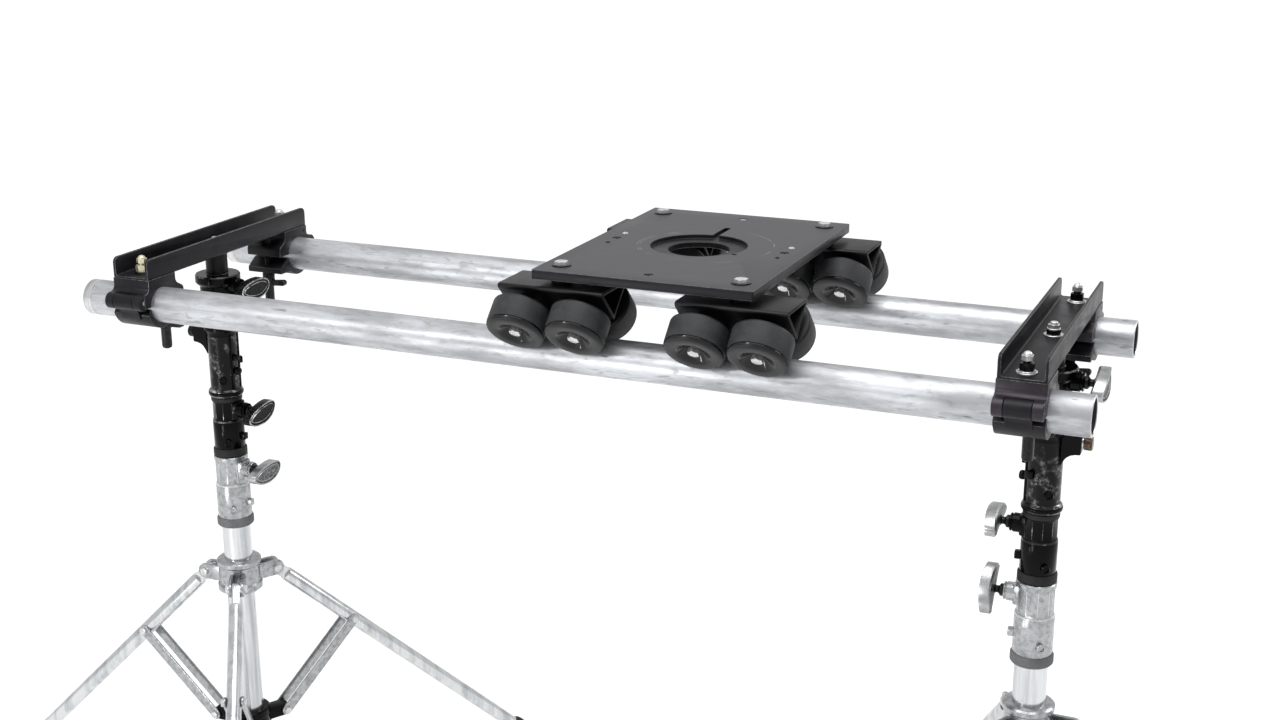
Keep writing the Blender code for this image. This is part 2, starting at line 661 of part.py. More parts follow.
def leg_angles():
    """The legs' directions about a stand's axis; the first points away from the track."""
    return [math.pi + math.tau * step / LEG_COUNT for step in range(LEG_COUNT)]


def make_column():
    """The outer tube with its top clamp collar and the crown that carries the legs."""
    bore = COLUMN_RADIUS - COLUMN_WALL
    ring = COLLAR_RADIUS + COLLAR_RING
    ring_top = COLUMN_COLLAR_LEVEL + COLLAR_RING_HEIGHT
    crown_top = CROWN_PIN_LEVEL + CROWN_HEIGHT / 2 + CHEEK_THICKNESS
    crown_low = crown_top - CROWN_HEIGHT
    profile = [(bore, COLUMN_FOOT), (COLUMN_RADIUS, COLUMN_FOOT), (COLUMN_RADIUS, crown_low),
               (CROWN_RADIUS, crown_low), (CROWN_RADIUS, crown_top), (COLUMN_RADIUS, crown_top),
               (COLUMN_RADIUS, COLUMN_COLLAR_LEVEL), (ring, COLUMN_COLLAR_LEVEL), (ring, ring_top),
               (COLLAR_RADIUS, ring_top + COLLAR_RING), (COLLAR_RADIUS, COLUMN_TOP),
               (bore, COLUMN_TOP)]
    column = turned(profile, TUBE_SIDES, ring=True)
    gap = LEG_TONGUE / 2 + FIT
    for angle in leg_angles():
        for offset in (gap, -gap - CHEEK_THICKNESS):
            fuse(column, turned_about_axis(cheek(offset), angle))
        reach = gap + CHEEK_THICKNESS / 2
        pin = move(rod(LEG_PIN_RADIUS, -reach, reach, BOLT_SIDES),
                   along((0, 1, 0), (LEG_PIN_OFFSET, 0, CROWN_PIN_LEVEL)))
        fuse(column, turned_about_axis(pin, angle))
    level = COLUMN_TOP - HANDLE_DROP
    fuse(column, make_boss(bore + COLUMN_WALL / 2, COLLAR_RADIUS + BOSS_REACH, level))
    cut(column, make_screw_hole(bore - OVERLAP, COLLAR_RADIUS + BOSS_REACH + OVERLAP, level))
    return take_mesh(column)


def make_riser():
    """The middle tube with its clamp collar, standing on the column's collar."""
    bore = RISER_RADIUS - RISER_WALL
    ring = RISER_HEAD_RADIUS + COLLAR_RING
    ring_top = RISER_SEAT + COLLAR_RING_HEIGHT
    foot = RISER_SEAT - RISER_TUBE_LENGTH
    profile = [(bore, foot), (RISER_RADIUS, foot), (RISER_RADIUS, RISER_SEAT), (ring, RISER_SEAT),
               (ring, ring_top), (RISER_HEAD_RADIUS, ring_top + COLLAR_RING),
               (RISER_HEAD_RADIUS, RISER_TOP), (bore, RISER_TOP)]
    riser = turned(profile, TUBE_SIDES, ring=True)
    level = RISER_TOP - HANDLE_DROP
    reach = RISER_HEAD_RADIUS + BOSS_REACH
    fuse(riser, make_boss(bore + RISER_WALL / 2, reach, level))
    cut(riser, make_screw_hole(bore - OVERLAP, reach + OVERLAP, level))
    return take_mesh(riser)


def receiver_handle_level():
    """The height of the receiver's clamp screw."""
    return RECEIVER_RIM_LEVEL - RECEIVER_CHAMFER


def make_receiver(handle_angle):
    """The upper tube and its socket casting, lug at -X, clamp boss at the given angle."""
    ring = RECEIVER_NECK_RADIUS + 2 * COLLAR_RING
    ring_top = RECEIVER_SEAT + COLLAR_RING_HEIGHT
    neck_top = RECEIVER_SEAT + RECEIVER_NECK_HEIGHT
    flare = neck_top + 2 * RECEIVER_CHAMFER
    foot = RECEIVER_SEAT - RECEIVER_TUBE_LENGTH
    profile = [(SPIGOT_BORE, foot), (RECEIVER_RADIUS, foot), (RECEIVER_RADIUS, RECEIVER_SEAT),
               (ring, RECEIVER_SEAT), (ring, ring_top), (RECEIVER_NECK_RADIUS, ring_top + COLLAR_RING),
               (RECEIVER_NECK_RADIUS, neck_top), (RECEIVER_HEAD_RADIUS, flare),
               (RECEIVER_HEAD_RADIUS, RECEIVER_RIM_LEVEL - RECEIVER_CHAMFER),
               (RECEIVER_RIM_RADIUS, RECEIVER_RIM_LEVEL), (RECEIVER_RIM_RADIUS, RECEIVER_TOP),
               (SPIGOT_BORE, RECEIVER_TOP)]
    receiver = turned(profile, TUBE_SIDES, ring=True)
    half = LUG_WIDTH / 2
    low = neck_top - LUG_DROP
    bolt_level = low + LUG_DROP
    root = -RECEIVER_NECK_RADIUS + OVERLAP
    lug = [(root, low - half), (-LUG_REACH, low + RECEIVER_CHAMFER),
           (-LUG_REACH, low + 2 * LUG_DROP), (-RECEIVER_HEAD_RADIUS, low + LUG_HEIGHT),
           (root, low + LUG_HEIGHT)]
    fuse(receiver, extruded(lug, "Y", -half, half))
    bolt = rod(LUG_BOLT_RADIUS, LUG_REACH - OVERLAP, LUG_REACH + LUG_BOLT_LENGTH)
    fuse(receiver, move(bolt, along((-1, 0, 0), (0, 0, bolt_level))))
    level = receiver_handle_level()
    reach = RECEIVER_RIM_RADIUS + UPPER_HANDLE_EXTRA
    boss = make_boss(SPIGOT_BORE + (RECEIVER_HEAD_RADIUS - SPIGOT_BORE) / 2, reach, level)
    drill = make_screw_hole(SPIGOT_BORE - OVERLAP, reach + OVERLAP, level)
    fuse(receiver, turned_about_axis(boss, handle_angle))
    cut(receiver, turned_about_axis(drill, handle_angle))
    return take_mesh(receiver)


def make_handle(tip, boss_end):
    """A clamp screw along +X from the stand's axis, with its oval handle long across Y."""
    face = boss_end + HANDLE_STANDOFF - HANDLE_THICKNESS
    screw = move(rod(HANDLE_SCREW_RADIUS, tip, face + OVERLAP), along((1, 0, 0)))
    hub = move(rod(HANDLE_HUB_RADIUS, boss_end + FIT, face + OVERLAP), along((1, 0, 0)))
    turns = [math.tau * step / HANDLE_SIDES for step in range(HANDLE_SIDES)]
    oval = [(HANDLE_HALF_LENGTH * math.cos(turn), HANDLE_HALF_WIDTH * math.sin(turn))
            for turn in turns]
    return take_mesh(fuse(screw, hub, extruded(oval, "X", face, face + HANDLE_THICKNESS)))


def pin_hole(half_width, centre):
    """The cutter of a leg pin's hole, along Y through an eye of that half width."""
    reach = half_width + OVERLAP
    return move(rod(hole_radius(LEG_PIN_RADIUS, BOLT_SIDES), -reach, reach, BOLT_SIDES),
                along((0, 1, 0), centre))


def make_leg():
    """A leg hanging along -Z from its pin, which runs along Y, down to its rubber foot."""
    tongue_outline = arc(LEG_EYE_RADIUS, 0, 180, EYE_STEPS)
    tongue_outline += [(-LEG_EYE_RADIUS, -LEG_NECK - OVERLAP), (LEG_EYE_RADIUS, -LEG_NECK - OVERLAP)]
    half = LEG_TONGUE / 2
    tongue = extruded(tongue_outline, "Y", -half, half)
    sleeve_top = -LEG_LENGTH + FOOT_LENGTH - FOOT_RADIUS
    profile = [(0, -LEG_NECK), (LEG_RADIUS, -LEG_NECK), (LEG_RADIUS, sleeve_top),
               (FOOT_RADIUS, sleeve_top - FOOT_RADIUS + LEG_RADIUS), (FOOT_RADIUS, -LEG_LENGTH)]
    for angle in (LEG_SPREAD, LEG_SPREAD / 2, 0):
        profile.append((FOOT_RADIUS * math.sin(angle),
                        -LEG_LENGTH - FOOT_RADIUS * math.cos(angle)))
    leg = fuse(tongue, turned(profile, PIN_SIDES))
    return take_mesh(cut(leg, pin_hole(half, (0, 0, 0))))


def make_brace():
    """Two straps that straddle a leg, up along Z from the pin that joins them, along Y."""
    near = LEG_RADIUS + FIT
    far = near + BRACE_THICKNESS
    half = BRACE_WIDTH / 2
    reach = far - BRACE_THICKNESS / 2
    brace = move(rod(LEG_PIN_RADIUS, -reach, reach, BOLT_SIDES), along((0, 1, 0)))
    for side in (-1, 1):
        low, high = sorted((side * near, side * far))
        outline = arc(half, 180, 360, BRACE_END_STEPS)
        outline += arc(half, 0, 180, BRACE_END_STEPS, (0, BRACE_LENGTH))
        fuse(brace, extruded(outline, "Y", low, high))
        bolt = rod(BRACE_BOLT_RADIUS, far - BRACE_THICKNESS / 2, far + BRACE_BOLT_HEIGHT, HEX_SIDES)
        fuse(brace, move(bolt, along((0, side, 0), (0, 0, BRACE_LENGTH))))
    return take_mesh(brace)


def make_brace_collar():
    """The ring that slides on the column and carries the braces; Z = 0 is its pins' level."""
    half = BRACE_COLLAR_HEIGHT / 2
    bore = hole_radius(COLUMN_RADIUS, TUBE_SIDES)
    collar = turned([(bore, -half), (BRACE_COLLAR_RADIUS, -half), (BRACE_COLLAR_RADIUS, half),
                     (bore, half)], TUBE_SIDES, ring=True)
    wide = LEG_RADIUS
    root = BRACE_COLLAR_RADIUS - CHEEK_THICKNESS
    outline = [(root, -LEG_EYE_RADIUS)]
    outline += arc(LEG_EYE_RADIUS, -90, 90, EYE_STEPS, (LEG_PIN_OFFSET, 0))
    outline.append((root, LEG_EYE_RADIUS))
    for angle in leg_angles():
        fuse(collar, turned_about_axis(extruded(outline, "Y", -wide, wide), angle))
        cut(collar, turned_about_axis(pin_hole(wide, (LEG_PIN_OFFSET, 0, 0)), angle))
    return take_mesh(collar)


def build_track(looks):
    """The two rails, the track ends and their clamps."""
    rail = make_rail()
    for name, row in (("rail_front", -1), ("rail_back", 1)):
        place(rail, name, looks["rail"], (RAIL_SHIFT, row * RAIL_GAUGE / 2, RAIL_LEVEL))
    track_end = make_track_end()
    jaw = make_jaw()
    screw = make_clamp_screw()
    for side_name, side in (("left", -1), ("right", 1)):
        place(track_end, "track_end_" + side_name, looks["anodised"], (side * STAND_X, 0, RAIL_LEVEL))
        for row_name, row in (("front", -1), ("back", 1)):
            turn = quarter_turns(0 if row < 0 else 2)
            label = side_name + "_" + row_name
            hinge = row * (RAIL_GAUGE / 2 + HINGE_OFFSET)
            place(jaw, "clamp_jaw_" + label, looks["anodised"],
                  (side * STAND_X, hinge, RAIL_LEVEL + HINGE_RISE), turn)
            place(screw, "clamp_screw_" + label, looks["casting"],
                  (side * STAND_X, row * (RAIL_GAUGE / 2 - SCREW_OFFSET), RAIL_LEVEL), turn)


def build_carriage(looks):
    """The platform, its four swivelling trucks and sixteen wheels."""
    base = (PLATFORM_START, 0, RAIL_LEVEL + PLATFORM_BASE_RISE)
    place(make_platform(), "platform", looks["plate"], base)
    truck = make_truck()
    wheel = make_wheel()
    corners = ("front_left", "front_right", "back_left", "back_right")
    for corner, (x, y) in zip(corners, truck_spots()):
        spot = Vector((PLATFORM_START + x, y, RAIL_LEVEL))
        place(truck, "truck_" + corner, looks["anodised"], spot)
        for row_name, row in (("a", -1), ("b", 1)):
            for count, side in ((1, -1), (2, 1)):
                centre, direction = axle_frame(side, row)
                turn = along(direction)
                name = "wheel_" + corner + "_" + row_name + str(count)
                place(wheel, name, looks["urethane"], spot + centre, turn)


def build_stand(side_name, side, looks):
    """One stand: column, risers, clamp handles and three braced legs."""
    axis = Vector((side * STAND_X, 0, 0))
    face = quarter_turns(0 if side < 0 else 2)
    place(make_column(), "column_" + side_name, looks["steel"], axis, face)
    place(make_riser(), "riser_" + side_name, looks["casting"], axis, face)
    place(make_receiver(0 if side < 0 else math.pi), "receiver_" + side_name, looks["casting"],
          axis, face)
    place(make_brace_collar(), "brace_collar_" + side_name, looks["casting"],
          axis + Vector((0, 0, BRACE_PIN_LEVEL)), face)
    leg = make_leg()
    brace = make_brace()
    for count, angle in enumerate(leg_angles(), 1):
        heading = face @ Matrix.Rotation(angle, 4, "Z")
        offset = heading @ Vector((LEG_PIN_OFFSET, 0, 0))
        lean = heading @ Matrix.Rotation(-LEG_SPREAD, 4, "Y")
        rise = heading @ Matrix.Rotation(LEG_SPREAD, 4, "Y")
        top = axis + offset + Vector((0, 0, CROWN_PIN_LEVEL))
        low = axis + offset + Vector((0, 0, BRACE_PIN_LEVEL))
        place(leg, "leg_" + side_name + "_" + str(count), looks["steel"], top, lean)
        place(brace, "brace_" + side_name + "_" + str(count), looks["steel"], low, rise)
    spots = (("lower", COLUMN_TOP - HANDLE_DROP, RISER_RADIUS, COLLAR_RADIUS, face),
             ("middle", RISER_TOP - HANDLE_DROP, RECEIVER_RADIUS, RISER_HEAD_RADIUS, face),
             ("upper", receiver_handle_level(), SPIGOT_RADIUS,
              RECEIVER_RIM_RADIUS + UPPER_HANDLE_EXTRA - BOSS_REACH, Matrix.Identity(4)))
    for (label, level, tube, outside, heading), tilt in zip(spots, HANDLE_TILTS[side_name]):
        handle = make_handle(tube + FIT, outside + BOSS_REACH)
        turn = heading @ Matrix.Rotation(math.radians(tilt), 4, "X")
        place(handle, "handle_" + side_name + "_" + label, looks["handle"],
              axis + Vector((0, 0, level)), turn)


def main():
    """Build the whole dolly."""
    clear_scene()
    looks = {
        "plate": paint("satin_black_anodised_plate", (0.10, 0.10, 0.11), 0.45, 0.5),
        "anodised": paint("black_anodised_aluminium", (0.02, 0.02, 0.022), 0.4, 0.4),
        "rail": paint("bare_aluminium_tube", (0.70, 0.71, 0.72), 0.35, 1.0),
        "urethane": paint("dark_urethane", (0.045, 0.045, 0.048), 0.6, 0.0),
        "steel": paint("chromed_steel_tube", (0.62, 0.62, 0.63), 0.25, 1.0),
        "casting": paint("gloss_black_casting", (0.015, 0.015, 0.016), 0.25, 0.3),
        "handle": paint("bare_cast_handle", (0.55, 0.55, 0.56), 0.4, 0.9),
    }
    build_track(looks)
    build_carriage(looks)
    build_stand("left", -1, looks)
    build_stand("right", 1, looks)


main()
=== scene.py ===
"""Looks of the portable track dolly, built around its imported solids. Sizes are in millimetres."""

import json
import math

import bmesh
import bpy
from mathutils import Matrix, Vector


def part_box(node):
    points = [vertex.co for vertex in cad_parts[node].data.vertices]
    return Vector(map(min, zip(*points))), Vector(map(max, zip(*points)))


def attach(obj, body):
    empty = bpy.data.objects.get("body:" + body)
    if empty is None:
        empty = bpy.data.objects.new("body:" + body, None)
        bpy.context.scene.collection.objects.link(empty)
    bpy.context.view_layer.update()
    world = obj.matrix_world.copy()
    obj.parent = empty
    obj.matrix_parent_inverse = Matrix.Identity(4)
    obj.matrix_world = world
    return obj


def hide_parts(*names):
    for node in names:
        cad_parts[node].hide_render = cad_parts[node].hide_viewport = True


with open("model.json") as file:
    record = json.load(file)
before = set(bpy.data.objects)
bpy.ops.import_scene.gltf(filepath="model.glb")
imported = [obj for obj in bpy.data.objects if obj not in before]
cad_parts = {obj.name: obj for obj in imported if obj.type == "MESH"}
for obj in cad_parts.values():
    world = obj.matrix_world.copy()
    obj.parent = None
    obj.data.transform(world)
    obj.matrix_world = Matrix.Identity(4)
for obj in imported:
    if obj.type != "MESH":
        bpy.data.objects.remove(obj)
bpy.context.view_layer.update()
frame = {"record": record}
BODY_OF = {node: body for body, nodes in frame["record"]["behaviour"]["bodies"].items()
           for node in nodes}

MM = 0.001
SMOOTH_BELOW = math.radians(32)

# Sizes shared with the solids; LEG_SPREAD is in degrees from upright
RAIL_RADIUS = 24.15
RAIL_BORE = 20.45
GAUGE = 325
STAND_X = 595.5
PLATFORM_X = 147
PLATFORM_SIZE = (281, 388, 12)
TRUCK_SPACING = 230
TRUCK_HALF = 69
TRUCK_APEX = 49
TRUCK_TOP = 90
WHEEL_RADIUS = 37
WHEEL_PITCH = 77.4
WHEEL_GAP = 0.3
AXLE_INSET = 4
WEB_RISE = 37
CHANNEL_WALL = 4
CHANNEL_TOP = 66
CHANNEL_HALF = 188
CLAMP_HALF = 29
CLAMP_BORE = 24.5
CLAMP_BARREL = 11
HINGE = (37, 10)
SCREW_OFFSET = 38
CROWN_PIN = 445.7
LEG_PIN_OFFSET = 56
LEG_SPREAD = 46
BRACE_PIN = 204
BRACE_LENGTH = 174
COLLAR_SEAT = 530.7
COLUMN_TOP = 640.7
RISER_SEAT = 641
RISER_TOP = 732.7
RECEIVER_SEAT = 733
RIM_LEVEL = 905
SCREW_DROP = 21

# Places read from the frame
RAIL_LOW, RAIL_HIGH = (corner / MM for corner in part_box("rail_front"))
RAIL_HALF = (RAIL_HIGH.x - RAIL_LOW.x) / 2
RAIL_X = (RAIL_LOW.x + RAIL_HIGH.x) / 2
RAIL_LEVEL = (RAIL_LOW.z + RAIL_HIGH.z) / 2
PLATFORM_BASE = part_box("platform")[0].z / MM

# The two rails, and the side of Y that each is on
ROWS = (("front", -1), ("back", 1))


def linked(name, data):
    """A new object in the scene."""
    item = bpy.data.objects.new(name, data)
    bpy.context.scene.collection.objects.link(item)
    return item


# Colours and materials

def tint(code):
    """A six-digit sRGB hex colour as linear RGBA."""
    channels = [int(code[place:place + 2], 16) / 255 for place in (0, 2, 4)]
    linear = [c / 12.92 if c <= 0.04045 else ((c + 0.055) / 1.055) ** 2.4 for c in channels]
    return (*linear, 1)


def feed(tree, node, inputs):
    """Set or link a node's inputs. A node given for one is linked by its first output."""
    for name, value in inputs.items():
        if isinstance(value, bpy.types.Node):
            value = value.outputs[0]
        if isinstance(value, bpy.types.NodeSocket):
            tree.links.new(value, node.inputs[name])
        else:
            node.inputs[name].default_value = value


def add(tree, kind, inputs=None, **settings):
    """One shader node with its settings, its values and its links."""
    made = tree.nodes.new("ShaderNode" + kind)
    for name, value in settings.items():
        setattr(made, name, value)
    feed(tree, made, inputs or {})
    return made


def blank(name):
    """A new material, its node tree, its Principled shader and its Object coordinates."""
    material = bpy.data.materials.new(name)
    material.use_nodes = True
    tree = material.node_tree
    place = add(tree, "TexCoord").outputs["Object"]
    return material, tree, tree.nodes["Principled BSDF"], place


def mottled(name, base, other, patch, grain, depth, rough, spread, metallic=0.0, coat=0.0,
            stretch=(1, 1, 1), shine=0.5, clump=0):
    """Soft blotches of a second shade, a fine grain and uneven gloss; sizes in millimetres."""
    material, tree, shader, place = blank(name)
    scaled = add(tree, "Mapping", {"Vector": place, "Scale": stretch})
    blotch = add(tree, "TexNoise",
                 {"Vector": scaled, "Scale": 1000 / patch, "Detail": 5.0, "Roughness": 0.6})
    shade = add(tree, "MapRange", {0: blotch, 1: 0.42, 2: 0.66})
    if clump:
        mass = add(tree, "TexNoise", {"Vector": place, "Scale": 1000 / clump, "Detail": 2.0})
        group = add(tree, "MapRange", {0: mass, 1: 0.48, 2: 0.66})
        shade = add(tree, "Math", {0: shade, 1: group}, operation="MULTIPLY")
    color = add(tree, "Mix", {0: shade, 6: tint(base), 7: tint(other)}, data_type="RGBA")
    fine = add(tree, "TexNoise",
               {"Vector": scaled, "Scale": 1000 / grain, "Detail": 3.0, "Roughness": 0.55})
    gloss = add(tree, "MapRange", {0: blotch, 1: 0.3, 2: 0.7, 3: rough - spread, 4: rough + spread})
    bump = add(tree, "Bump", {"Height": fine, "Strength": 0.6, "Distance": depth * MM})
    feed(tree, shader, {"Base Color": color.outputs[2], "Roughness": gloss, "Normal": bump,
                        "Metallic": metallic, "Coat Weight": coat, "Coat Roughness": 0.12,
                        "Specular IOR Level": shine})
    return material


def scribed(material, centre, arcs):
    """Faint broken half circles worn into a finish: each radius, and the side of X it is on."""
    patches_per_metre = 45.0
    line_width = 0.7
    fade = (25, 60)
    tree = material.node_tree
    color = tree.nodes["Principled BSDF"].inputs["Base Color"]
    place = add(tree, "TexCoord").outputs["Object"]
    local = add(tree, "Mapping",
                {"Vector": place, "Location": -Vector(centre) * MM, "Scale": (1, 1, 0)})
    reach = add(tree, "VectorMath", {0: local}, operation="LENGTH").outputs["Value"]
    across = add(tree, "SeparateXYZ", {0: local})
    broken = add(tree, "TexNoise", {"Vector": place, "Scale": patches_per_metre, "Detail": 3.0})
    patchy = add(tree, "MapRange", {0: broken, 1: 0.42, 2: 0.6, 4: 0.55})
    for radius, side in arcs:
        line = add(tree, "Math", {0: reach, 1: radius * MM, 2: line_width * MM},
                   operation="COMPARE")
        half = add(tree, "MapRange", {0: across, 1: side * fade[0] * MM, 2: side * fade[1] * MM})
        there = add(tree, "Math", {0: line, 1: half}, operation="MULTIPLY")
        share = add(tree, "Math", {0: there, 1: patchy}, operation="MULTIPLY")
        worn = add(tree, "Mix",
                   {0: share, 6: color.links[0].from_socket, 7: tint("9a999d")}, data_type="RGBA")
        tree.links.new(worn.outputs[2], color)


def drawn_tube(name, bright, dull, stain, dark):
    """Bare aluminium drawn along X: long draw lines, cloudy oxide, scuffs and dark nicks."""
    lines, clouds, scuffs, nicks = 700.0, 36.0, 150.0, 55.0  # of each pattern in a metre
    material, tree, shader, place = blank(name)
    drawn = add(tree, "Mapping", {"Vector": place, "Scale": (0.02, 1, 1)})
    cloudy = add(tree, "Mapping", {"Vector": place, "Scale": (0.25, 1, 1)})
    streak = add(tree, "TexNoise",
                 {"Vector": drawn, "Scale": lines, "Detail": 6.0, "Roughness": 0.7})
    cloud = add(tree, "TexNoise",
                {"Vector": cloudy, "Scale": clouds, "Detail": 7.0, "Roughness": 0.65})
    scuff = add(tree, "TexNoise",
                {"Vector": cloudy, "Scale": scuffs, "Detail": 4.0, "Distortion": 0.8})
    nick = add(tree, "TexVoronoi", {"Vector": cloudy, "Scale": nicks})
    haze = add(tree, "MapRange", {0: cloud, 1: 0.38, 2: 0.62})
    line = add(tree, "MapRange", {0: streak, 1: 0.5, 2: 0.72, 4: 0.55})
    rubbed = add(tree, "MapRange", {0: scuff, 1: 0.56, 2: 0.72, 4: 0.75})
    speck = add(tree, "MapRange", {0: nick.outputs["Distance"], 1: 0.05, 2: 0.09, 3: 0.75, 4: 0.0})
    color = tint(bright)
    for share, code in ((haze, dull), (line, dull), (rubbed, stain), (speck, dark)):
        color = add(tree, "Mix", {0: share, 6: color, 7: tint(code)}, data_type="RGBA").outputs[2]
    gloss = add(tree, "MapRange", {0: cloud, 1: 0.3, 2: 0.7, 3: 0.32, 4: 0.5})
    height = add(tree, "Math", {0: streak, 1: rubbed}, operation="SUBTRACT")
    bump = add(tree, "Bump", {"Height": height, "Strength": 0.35, "Distance": 0.08 * MM})
    feed(tree, shader, {"Base Color": color, "Roughness": gloss, "Normal": bump, "Metallic": 0.7})
    return material


# Sulphuric anodising dyed black on milled plate: a flat dark grey with a dusty, even grain.
PLATE = mottled("black_anodised_plate", "3a393d", "444348", 60, 0.9, 0.03, 0.48, 0.05, 0.1)
scribed(PLATE, (PLATFORM_X, 0, 0), ((75.5, -1), (79, -1), (95, 1)))
# The same dye rubbed thin where the plate's edges were broken.
PLATE_EDGE = mottled("rubbed_anodised_edge", "4a494e", "67666b", 7, 0.8, 0.03, 0.45, 0.08, 0.3,
                     shine=0.4)
# Anodised bent channel and machined clamps: near black, a little violet where light catches it.
ANODISED = mottled("black_anodised_aluminium", "141316", "1f1c22", 25, 0.7, 0.03, 0.4, 0.07, 0.12,
                   shine=0.22)
# The machined clamp halves of one end took the dye with a clearer violet tone.
VIOLET = mottled("violet_black_clamp", "1d171e", "2e242e", 18, 0.7, 0.03, 0.38, 0.06, 0.2,
                 shine=0.45)
# Sheared and tumbled edges of that channel, worn back to grey metal.
ANODISED_EDGE = mottled("worn_anodised_edge", "3c3b40", "7c7b7e", 5, 0.6, 0.03, 0.38, 0.1, 0.5)
# Black powder coat on the wheel trucks: a soft sheen over a faint orange peel.
POWDER = mottled("black_powder_coat", "101012", "18181a", 40, 2.2, 0.06, 0.36, 0.06, shine=0.18)
# Painted shade: the truck plate's cut ends, darker than the coat, with hardly any sheen.
POWDER_END_SHADE = mottled("powder_ends_painted_shade", "080809", "121213", 8, 1.2, 0.05, 0.4, 0.08, shine=0.08)
# Cast urethane tread: matt charcoal, dusted paler where it has rolled.
URETHANE = mottled("cast_urethane", "2e2f31", "3b3c3e", 14, 0.8, 0.04, 0.58, 0.08, shine=0.3)
# Its side walls, which never touch the rail: cleaner than the tread, and darker partly as painted
# shade on the shoulders.
CHEEK = mottled("clean_and_shaded_urethane", "19191b", "222224", 10, 1.5, 0.03, 0.4, 0.06, shine=0.28)
# The wheel's bead and hub cone: dark plastic left shiny by the mould, darker still as painted shade
# in the bead's groove and the hub's recess.
HUB = mottled("moulded_hub_plastic_and_shade", "070708", "101012", 8, 5, 0.01, 0.1, 0.03, shine=0.3)
# Zinc-plated bolts and nuts: pale grey with a slight bloom.
ZINC = mottled("zinc_plated_steel", "e2e2e1", "bfc1c2", 6, 0.6, 0.02, 0.3, 0.06, 0.6)
# Yellow-passivated zinc, as one pair of nuts has.
YELLOW_ZINC = mottled("yellow_zinc_plate", "e8e3cb", "bcb594", 4, 0.6, 0.03, 0.32, 0.08, 0.6)
# Stand castings under gloss black enamel, with the drips and pits of sand casting.
ENAMEL = mottled("gloss_black_enamel", "030303", "080808", 9, 4, 0.22, 0.16, 0.05, 0, 0.03,
                 shine=0.08)
# Painted highlight: bright metal colour along cast steps, facet edges, bead rounds and a rim,
# standing in for the light they catch on the enamel.
STEP_HIGHLIGHT = mottled("painted_step_highlight", "2a2a2a", "d0d0d0", 7, 1.2, 0.05, 0.26, 0.08, 0.6,
                    clump=16)
# Painted glints: pale clumps over the socket's black casting, standing in for light caught by its
# rough skin.
CAST_GLINTS = mottled("rough_casting_painted_glints", "040404", "a0a0a0", 4, 2.4, 0.4, 0.24, 0.08, 0.2,
                     shine=0.2, clump=22)
# Chromed steel tube, a little hazed by use; the haze runs in vertical streaks that partly stand in
# for the tube's streaky reflections, a painted reflection.
CHROME = mottled("chromed_steel_tube", "d5d7d8", "b0b3b6", 14, 1.5, 0.02, 0.18, 0.06, 0.9,
                 stretch=(1, 1, 0.06))
# Die-cast collars and crowns and the braces' straps: a plated skin clouded by handling.
DIECAST = mottled("plated_die_casting", "b0b2b3", "8d9093", 7, 1.4, 0.06, 0.26, 0.06, 0.8)
# Polished rims of the clamp handles, bright and even.
HANDLE_RIM = mottled("polished_cast_handle", "b2b3b4", "929496", 16, 0.8, 0.02, 0.28, 0.05, 0.85)
# Their dished faces and backs, darker than the rims, over a coarse casting skin.
HANDLE_FACE = mottled("grey_cast_skin", "454647", "8f9091", 4, 1.2, 0.12, 0.36, 0.08, 0.6)
# Two handles of one stand are enamelled black, with their rims painted bright: painted highlights
# on the edges.
DARK_HANDLE_HIGHLIGHT = mottled("black_handle_painted_highlight", "b0b1b2", "3a3a3b", 6, 1.2, 0.03, 0.26, 0.06, 0.8)
# The enamel on the rest of them, dull over a coarse casting skin.
DARK_FACE = mottled("black_cast_skin", "060607", "2a2a2b", 4, 1.2, 0.14, 0.3, 0.08, 0.1, shine=0.1)
# Moulded rubber of feet and seals: dark and matt.
RUBBER = mottled("moulded_rubber", "161617", "222223", 10, 1.2, 0.05, 0.62, 0.06, shine=0.35)
# The lowest cushion ring, a grey rubber.
GREY_RUBBER = mottled("grey_cushion_rubber", "77787a", "858688", 12, 1.2, 0.04, 0.6, 0.05,
                      shine=0.3)
# Oiled black steel of studs and axle shafts.
BLACKED = mottled("blackened_steel", "121213", "262627", 4, 0.6, 0.04, 0.32, 0.08, 0.5, shine=0.35)
# The same steel rubbed by fingers along the wing nuts' edges.
RUBBED_STEEL = mottled("rubbed_blackened_steel", "1c1b1b", "6c6967", 4, 0.6, 0.04, 0.32, 0.08, 0.6)
# Turned brass knob gone brown in its knurling.
BRASS = mottled("tarnished_brass", "3a2f27", "75634d", 3, 0.6, 0.05, 0.32, 0.08, 0.6)
# Bare aluminium pipe, drawn along its length.
PIPE = drawn_tube("bare_aluminium_pipe", "d3d6da", "a6a7ab", "8f8e8d", "6e6d6c")
# The turned band at its left end, brighter than the drawn skin.
PIPE_BAND = mottled("turned_aluminium_band", "d9dadb", "9c9d9f", 3, 0.5, 0.03, 0.24, 0.06, 0.9,
                    stretch=(1, 0.05, 0.05))
# Its sawn ends, cut bright and a little rough.
PIPE_END = mottled("sawn_aluminium_end", "d5d5d6", "b5b4b3", 2, 0.4, 0.04, 0.34, 0.08, 0.8)
# The oxide and swarf dust inside it, painted much darker than the pipe as painted shade in the
# bore.
PIPE_BORE = mottled("dusty_and_shaded_pipe_bore", "3e3e40", "57575a", 12, 1.5, 0.06, 0.6, 0.08, 0.3,
                    shine=0.3)


# Places

def shift(x, y, z):
    """A move."""
    return Matrix.Translation((x * MM, y * MM, z * MM))


def around(degrees, axis="Z"):
    """A turn about an axis."""
    return Matrix.Rotation(math.radians(degrees), 4, axis)


def facing(side):
    """Half a turn about Z for the side at +1, and none for the side at -1."""
    return around(90 + 90 * side)


